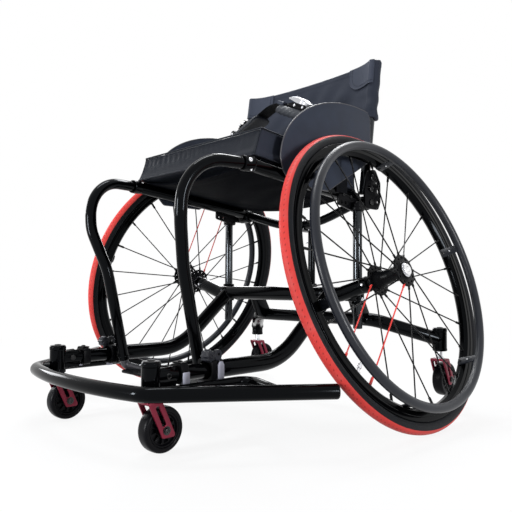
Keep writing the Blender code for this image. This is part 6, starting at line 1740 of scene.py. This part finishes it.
class WHEELCHAIR_OT_spoked_hubs(Maker, bpy.types.Operator):
    """Hubs, black and red spokes, bearings, axles and their release buttons"""

    bl_idname = "wheelchair.spoked_hubs"
    bl_label = "Hubs and spokes"

    def build(self, scene):
        sizes = scene.wheelchair_wheels
        black = spokes_skin(sizes, [i for i in range(sizes.spoke_count) if i not in RED_SPOKES])
        red = spokes_skin(sizes, list(RED_SPOKES))
        for side, body, place in WHEELS:
            button = "axle_button_" + side
            hub = hub_skin().moved(place)
            hub.piece("hub_" + side, body, ["satin"], ["hub_with_spokes_" + side], "satin_black")
            black.moved(place).piece("spokes_" + side, body, ["spoke"], slot="satin_black")
            red.moved(place).piece("red_spokes_" + side, body, ["red_spoke"])
            axle = axle_skin().moved(place)
            axle.piece("axle_pin_" + side, "frame", ["cap"], ["axle_" + side], "bright_steel")
            knob = button_skin().moved(place)
            knob.piece("release_button_" + side, button, ["cap"], [button], "bright_steel")
            dress("hub_bearings_" + side, "steel")


class WHEELCHAIR_OT_handrims(Maker, bpy.types.Operator):
    """Handrims with their tabs and screws"""

    bl_idname = "wheelchair.handrims"
    bl_label = "Handrims"

    def build(self, scene):
        skin = handrim_skin(scene.wheelchair_wheels)
        finish = ["handrim", "steel", "bolt"]
        for side, body, place in WHEELS:
            skin.moved(place).piece("handrim_" + side, body, finish, ["pushrim_" + side], "satin_black")


class WHEELCHAIR_OT_tubes(Maker, bpy.types.Operator):
    """The welded tubes of the frame"""

    bl_idname = "wheelchair.tubes"
    bl_label = "Frame tubes"

    def build(self, scene):
        sizes = scene.wheelchair_frame
        post = Skin().tube([(*POST, 0.178), (*POST, 0.446)], sizes.post_tube, 36, 0.0016)
        tube = camber_tube_skin(sizes)
        tube.piece("camber_axle_tube", "frame", ["paint", "steel"], ["camber_tube"], "gloss_black")
        pairs = (
            ("lower_side_tube", "side_tube", side_tube_skin(sizes), ["paint"]),
            ("seat_height_post", "height_post", post, ["post"]),
            ("front_loop_tube", "front_loop", front_loop_skin(sizes), ["paint", "steel"]),
            ("seat_side_rail", "seat_rail", seat_rail_skin(sizes), ["paint", "steel", "satin", "bolt"]),
        )
        for name, node, skin, finish in pairs:
            both(skin, name, "frame", finish, [node], "gloss_black")
        middle = (
            ("arched_tube", "seat_cross_tube", cross_tube_skin(sizes), ["paint"], "gloss_black"),
            ("strut", "centre_strut", strut_skin(sizes), ["paint", "satin", "steel"], "satin_black"),
            ("anti_tip_bar", "rear_bar", rear_bar_skin(sizes), ["paint", "steel"], "gloss_black"),
            ("bowed_bumper", "wing_bumper", wing_skin(sizes), ["bumper"], "gloss_black"),
        )
        for name, node, skin, finish, slot in middle:
            skin.piece(name, "frame", finish, [node], slot)


class WHEELCHAIR_OT_front_fittings(Maker, bpy.types.Operator):
    """Sliders, clamps and the footplate"""

    bl_idname = "wheelchair.front_fittings"
    bl_label = "Sliders, clamps, footplate"

    def build(self, scene):
        pairs = (
            ("slider", "front_slider", slider_skin(), ["paint", "steel", "bolt"]),
            ("lock_clamp", "slider_clamp", slider_clamp_skin(), ["satin", "plate", "knob"]),
            ("foot_strap_clamp", "strap_clamp", strap_clamp_skin(), ["satin", "plate"]),
        )
        for name, node, skin, finish in pairs:
            both(skin, name, "frame", finish, [node], "satin_black")
        plate = footplate_skin()
        plate.piece("foot_plate", "frame", ["satin", "grey", "steel"], ["footplate"], "satin_black")


class WHEELCHAIR_OT_casters(Maker, bpy.types.Operator):
    """Four casters: forks, wheels and axle bolts"""

    bl_idname = "wheelchair.casters"
    bl_label = "Casters"

    def build(self, scene):
        for place in CASTERS:
            fork, wheel, axle = ("fork_" + place, "caster_wheel_" + place, "caster_axle_" + place)
            legs, rolling, pin = fork_skin(place), caster_wheel_skin(place), caster_axle_skin(place)
            legs.piece("crimson_" + fork, "caster_" + fork, ["crimson", "steel"], [fork], "crimson")
            rolling.piece("rolling_wheel_" + place, wheel, ["caster", "plastic"], [wheel], "caster_rubber")
            pin.piece("axle_bolt_" + place, wheel, ["bolt"], [axle], "bright_steel")


class WHEELCHAIR_OT_seat(Maker, bpy.types.Operator):
    """The seat sling and the piped cushion"""

    bl_idname = "wheelchair.seat"
    bl_label = "Seat"

    def build(self, scene):
        soft = scene.wheelchair_soft
        sling = sling_skin().piece("sling", "frame", ["sling"], ["seat_sling"], "black_fabric", 60)
        width = float(lengths(sling_section(0.0, 61))[-1])
        finish = ["cloth", "side_cloth"]
        cushion = cushion_skin(soft).piece("seat_cushion", "frame", finish, ["cushion"], "black_fabric", 60)
        finer = cushion.modifiers.new("smooth", "SUBSURF")
        finer.levels = finer.render_levels = 1
        piping_skin(soft).piece("cushion_piping", "frame", ["cloth"], slot="black_fabric")


class WHEELCHAIR_OT_backrest(Maker, bpy.types.Operator):
    """Back posts, slotted plates and the back upholstery"""

    bl_idname = "wheelchair.backrest"
    bl_label = "Backrest"

    def build(self, scene):
        post = back_post_skin(scene.wheelchair_frame)
        both(post, "back_tube", "backrest", ["post", "bolt"], ["back_post"], "gloss_black")
        bracket = back_bracket_skin()
        both(bracket, "slotted_plate", "frame", ["satin", "bolt"], ["back_bracket"], "satin_black")
        cloth = upholstery_skin()
        cover = cloth.piece("back_cover", "backrest", ["back_cloth"], ["back_upholstery"], "black_fabric", 60)
        finish = ["patch", "webbing"]
        for side, sign in SIDES:
            patch_skin(sign).piece("corner_patch_" + side, "backrest", finish, slot="black_fabric", crease=60)


class WHEELCHAIR_OT_guards(Maker, bpy.types.Operator):
    """Side guards on their studs"""

    bl_idname = "wheelchair.guards"
    bl_label = "Side guards"

    def build(self, scene):
        finish = ["guard", "steel", "grey"]
        both(guard_skin(), "clothing_guard", "frame", finish, ["side_guard"], "satin_black")


class WHEELCHAIR_OT_lap_belt(Maker, bpy.types.Operator):
    """The lap belt with its ratchet buckle"""

    bl_idname = "wheelchair.lap_belt"
    bl_label = "Lap belt"

    def build(self, scene):
        finish = ["webbing", "plastic", "steel", "patch"]
        left_belt_skin().piece("belt_left", "frame", finish[:3], ["lap_belt_left"], "webbing")
        right_belt_skin().piece("belt_right", "frame", finish, ["lap_belt_right"], "webbing")
        lever_skin().piece("ratchet_lever", "buckle_lever", ["lever"], ["buckle_lever"], "bright_steel")
        for name, sign, first, last in (("belt_pad", 1, 0.02, 0.176), ("far_belt_pad", -1, 0.06, 0.176)):
            pad = pad_skin(sign, first, last).piece(name, "frame", ["cloth"], slot="black_fabric", crease=60)


class WHEELCHAIR_OT_stage(Maker, bpy.types.Operator):
    """Floor, world, lamps and the camera at the photograph's angle"""

    bl_idname = "wheelchair.stage"
    bl_label = "Stage"

    def build(self, scene):
        add_world(scene)
        add_floor()
        add_lamps()
        add_camera(scene)
        scene.view_settings.view_transform = "Standard"


def dress(node, finish):
    """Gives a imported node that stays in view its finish."""
    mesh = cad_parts[node].data
    mesh.materials.clear()
    mesh.materials.append(finishes()[finish])


def add_world(scene):
    """Soft light all round, and plain white where the world is seen directly, in gloss or through glass."""
    scene.world = bpy.data.worlds.new("studio")
    scene.world.use_nodes = True
    made = Tree(scene.world.node_tree.nodes, scene.world.node_tree.links)
    made.nodes.remove(made.nodes["Background"])
    soft = made.node("Background", {}, {"Color": (0.92, 0.95, 1.0), "Strength": 0.4})
    white = made.node("Background", {}, {"Color": (1, 1, 1), "Strength": 1.0})
    made.either(made.seen_directly(), soft, white, "World Output")


def add_floor():
    """A round floor that keeps the chair's shadow. Seen directly, in gloss or through glass it is mostly
    plain white, wholly so further out; to other rays it is a grey floor that only returns their light."""
    pale = (0.93, 0.93, 0.93)
    made = Finish("pale_floor", pale, 0.8, Specular_IOR_Level=0.1)
    reach = made.node("VectorMath", {"operation": "LENGTH"}, {0: made.place()}, out="Value")
    seen = made.seen_directly()
    away = (0.87 + reach.over(1.1, 1.4) * 0.13) * seen
    made.set("Base Color", made.mix(seen, (0.35, 0.35, 0.35), pale))
    made.set("Roughness", 0.75 + made.noise(3, 2) * 0.1)
    plain = made.node("Emission", {}, {"Color": (1, 1, 1), "Strength": 1.0})
    made.either(away, Value(made, made.shader.outputs[0]), plain, "Material Output")
    rings, sides = 40, 72
    points = np.full((rings, sides, 3), -0.0002)
    points[..., :2] = circle(sides) * np.linspace(0.01, 14, rings)[:, None, None]
    mesh = bpy.data.meshes.new("floor")
    i, j = np.meshgrid(np.arange(rings - 1), np.arange(sides), indexing="ij")
    steps = ((1, 0), (1, 1), (0, 1), (0, 0))
    quads = np.stack([(i + a) * sides + (j + b) % sides for a, b in steps], axis=-1)
    faces = [tuple(range(sides))] + quads.reshape(-1, 4).tolist()
    mesh.from_pydata(points.reshape(-1, 3).tolist(), [], faces)
    mesh.materials.append(made.material)
    placed("floor", mesh)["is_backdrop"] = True


def facing(right, back, place):
    """The placing of a lamp or camera: right is its X, back its Z, and it looks against back."""
    turn = Matrix(np.stack([right, np.cross(back, right), back], axis=1).tolist()).to_4x4()
    return Matrix.Translation(place) @ turn


def add_lamps():
    """Softboxes overhead and round the sides, each given as place, aim, size, power and colour."""
    upper, lower = (0.98, 0.99, 1.0), (0.97, 0.98, 1.0)
    lamps = {
        "overhead": ((-0.3, -0.15, 2.1), (0, -0.2, 0.3), (0.9, 0.35), 14, upper),
        "behind": ((-0.4, 1.00, 1.95), (0, -0.1, 0.35), (1.2, 0.4), 24, upper),
        "side_strip": ((-2.0, -0.55, 0.9), (0, -0.4, 0.15), (0.6, 0.45), 9, lower),
        "front_strip": ((-0.45, -2.15, 0.5), (0, 0, 0.35), (0.34, 0.6), 33, lower),
        "near_strip": ((2.25, -0.15, 0.55), (0, 0, 0.35), (0.26, 0.6), 22, lower),
        "rear_strip": ((-1.6, 1.5, 1.25), (0, -0.1, 0.35), (0.4, 1.1), 12, upper),
    }
    for name, (place, aim, size, power, colour) in lamps.items():
        light = bpy.data.lights.new(name, "AREA")
        light.shape = "RECTANGLE"
        light.size, light.size_y = size
        light.energy = power
        light.color = colour
        lamp = placed(name, light)
        lamp.visible_camera = False
        back = unit(np.array(place) - aim)
        lamp.matrix_world = facing(unit(np.cross(Z, back)), back, place)


def add_camera(scene):
    """The camera at the photograph's place, angle and framing."""
    azimuth, elevation, roll = np.radians([45.81, -2.18, 0.28])
    ahead = directions(azimuth)[::-1] * (1, -1)
    back = np.array([*(ahead * math.cos(elevation)), math.sin(elevation)])
    right = unit(np.cross(-back, Z))
    up = np.cross(right, -back)
    data = bpy.data.cameras.new("camera")
    data.lens = 40.3
    data.sensor_width = 36
    data.shift_x, data.shift_y = 0.0174, 0.0143
    data.clip_start, data.clip_end = 0.05, 60
    camera = placed("camera", data)
    camera.matrix_world = facing(right * math.cos(roll) + up * math.sin(roll), back, (0.931, -0.87875, 0.271))
    scene.camera = camera


OPERATORS = (
    WHEELCHAIR_OT_stage,
    WHEELCHAIR_OT_tyres,
    WHEELCHAIR_OT_rims,
    WHEELCHAIR_OT_spoked_hubs,
    WHEELCHAIR_OT_handrims,
    WHEELCHAIR_OT_tubes,
    WHEELCHAIR_OT_front_fittings,
    WHEELCHAIR_OT_casters,
    WHEELCHAIR_OT_seat,
    WHEELCHAIR_OT_backrest,
    WHEELCHAIR_OT_guards,
    WHEELCHAIR_OT_lap_belt,
)


class WHEELCHAIR_PT_panel(bpy.types.Panel):
    """Sizes, colours and the operators that build the pieces"""

    bl_idname = "WHEELCHAIR_PT_panel"
    bl_label = "Basketball Wheelchair"
    bl_space_type = "VIEW_3D"
    bl_region_type = "UI"
    bl_category = "Wheelchair"

    def draw(self, context):
        for group in GROUPS:
            held = getattr(context.scene, group)
            box = self.layout.box()
            box.label(text=held.bl_rna.description)
            for name in held.__annotations__:
                box.prop(held, name)
        column = self.layout.column(align=True)
        for operator in OPERATORS:
            column.operator(operator.bl_idname)


GROUPS = {
    "wheelchair_wheels": WheelSizes,
    "wheelchair_frame": FrameSizes,
    "wheelchair_soft": SoftSizes,
    "wheelchair_finishes": Finishes,
}
CLASSES = (*GROUPS.values(), *OPERATORS, WHEELCHAIR_PT_panel)


def register():
    for made in CLASSES:
        bpy.utils.register_class(made)
    for name, group in GROUPS.items():
        setattr(bpy.types.Scene, name, bpy.props.PointerProperty(type=group))


def unregister():
    for name in GROUPS:
        delattr(bpy.types.Scene, name)
    for made in reversed(CLASSES):
        bpy.utils.unregister_class(made)


def main():
    register()
    for operator in OPERATORS:
        section, name = operator.bl_idname.split(".")
        getattr(getattr(bpy.ops, section), name)()
    boxes = {"cad": CAD_BOX, "visual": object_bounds()}
    {name: [list(corner) for corner in box] for name, box in boxes.items()}


if __name__ == "__main__":
    main()
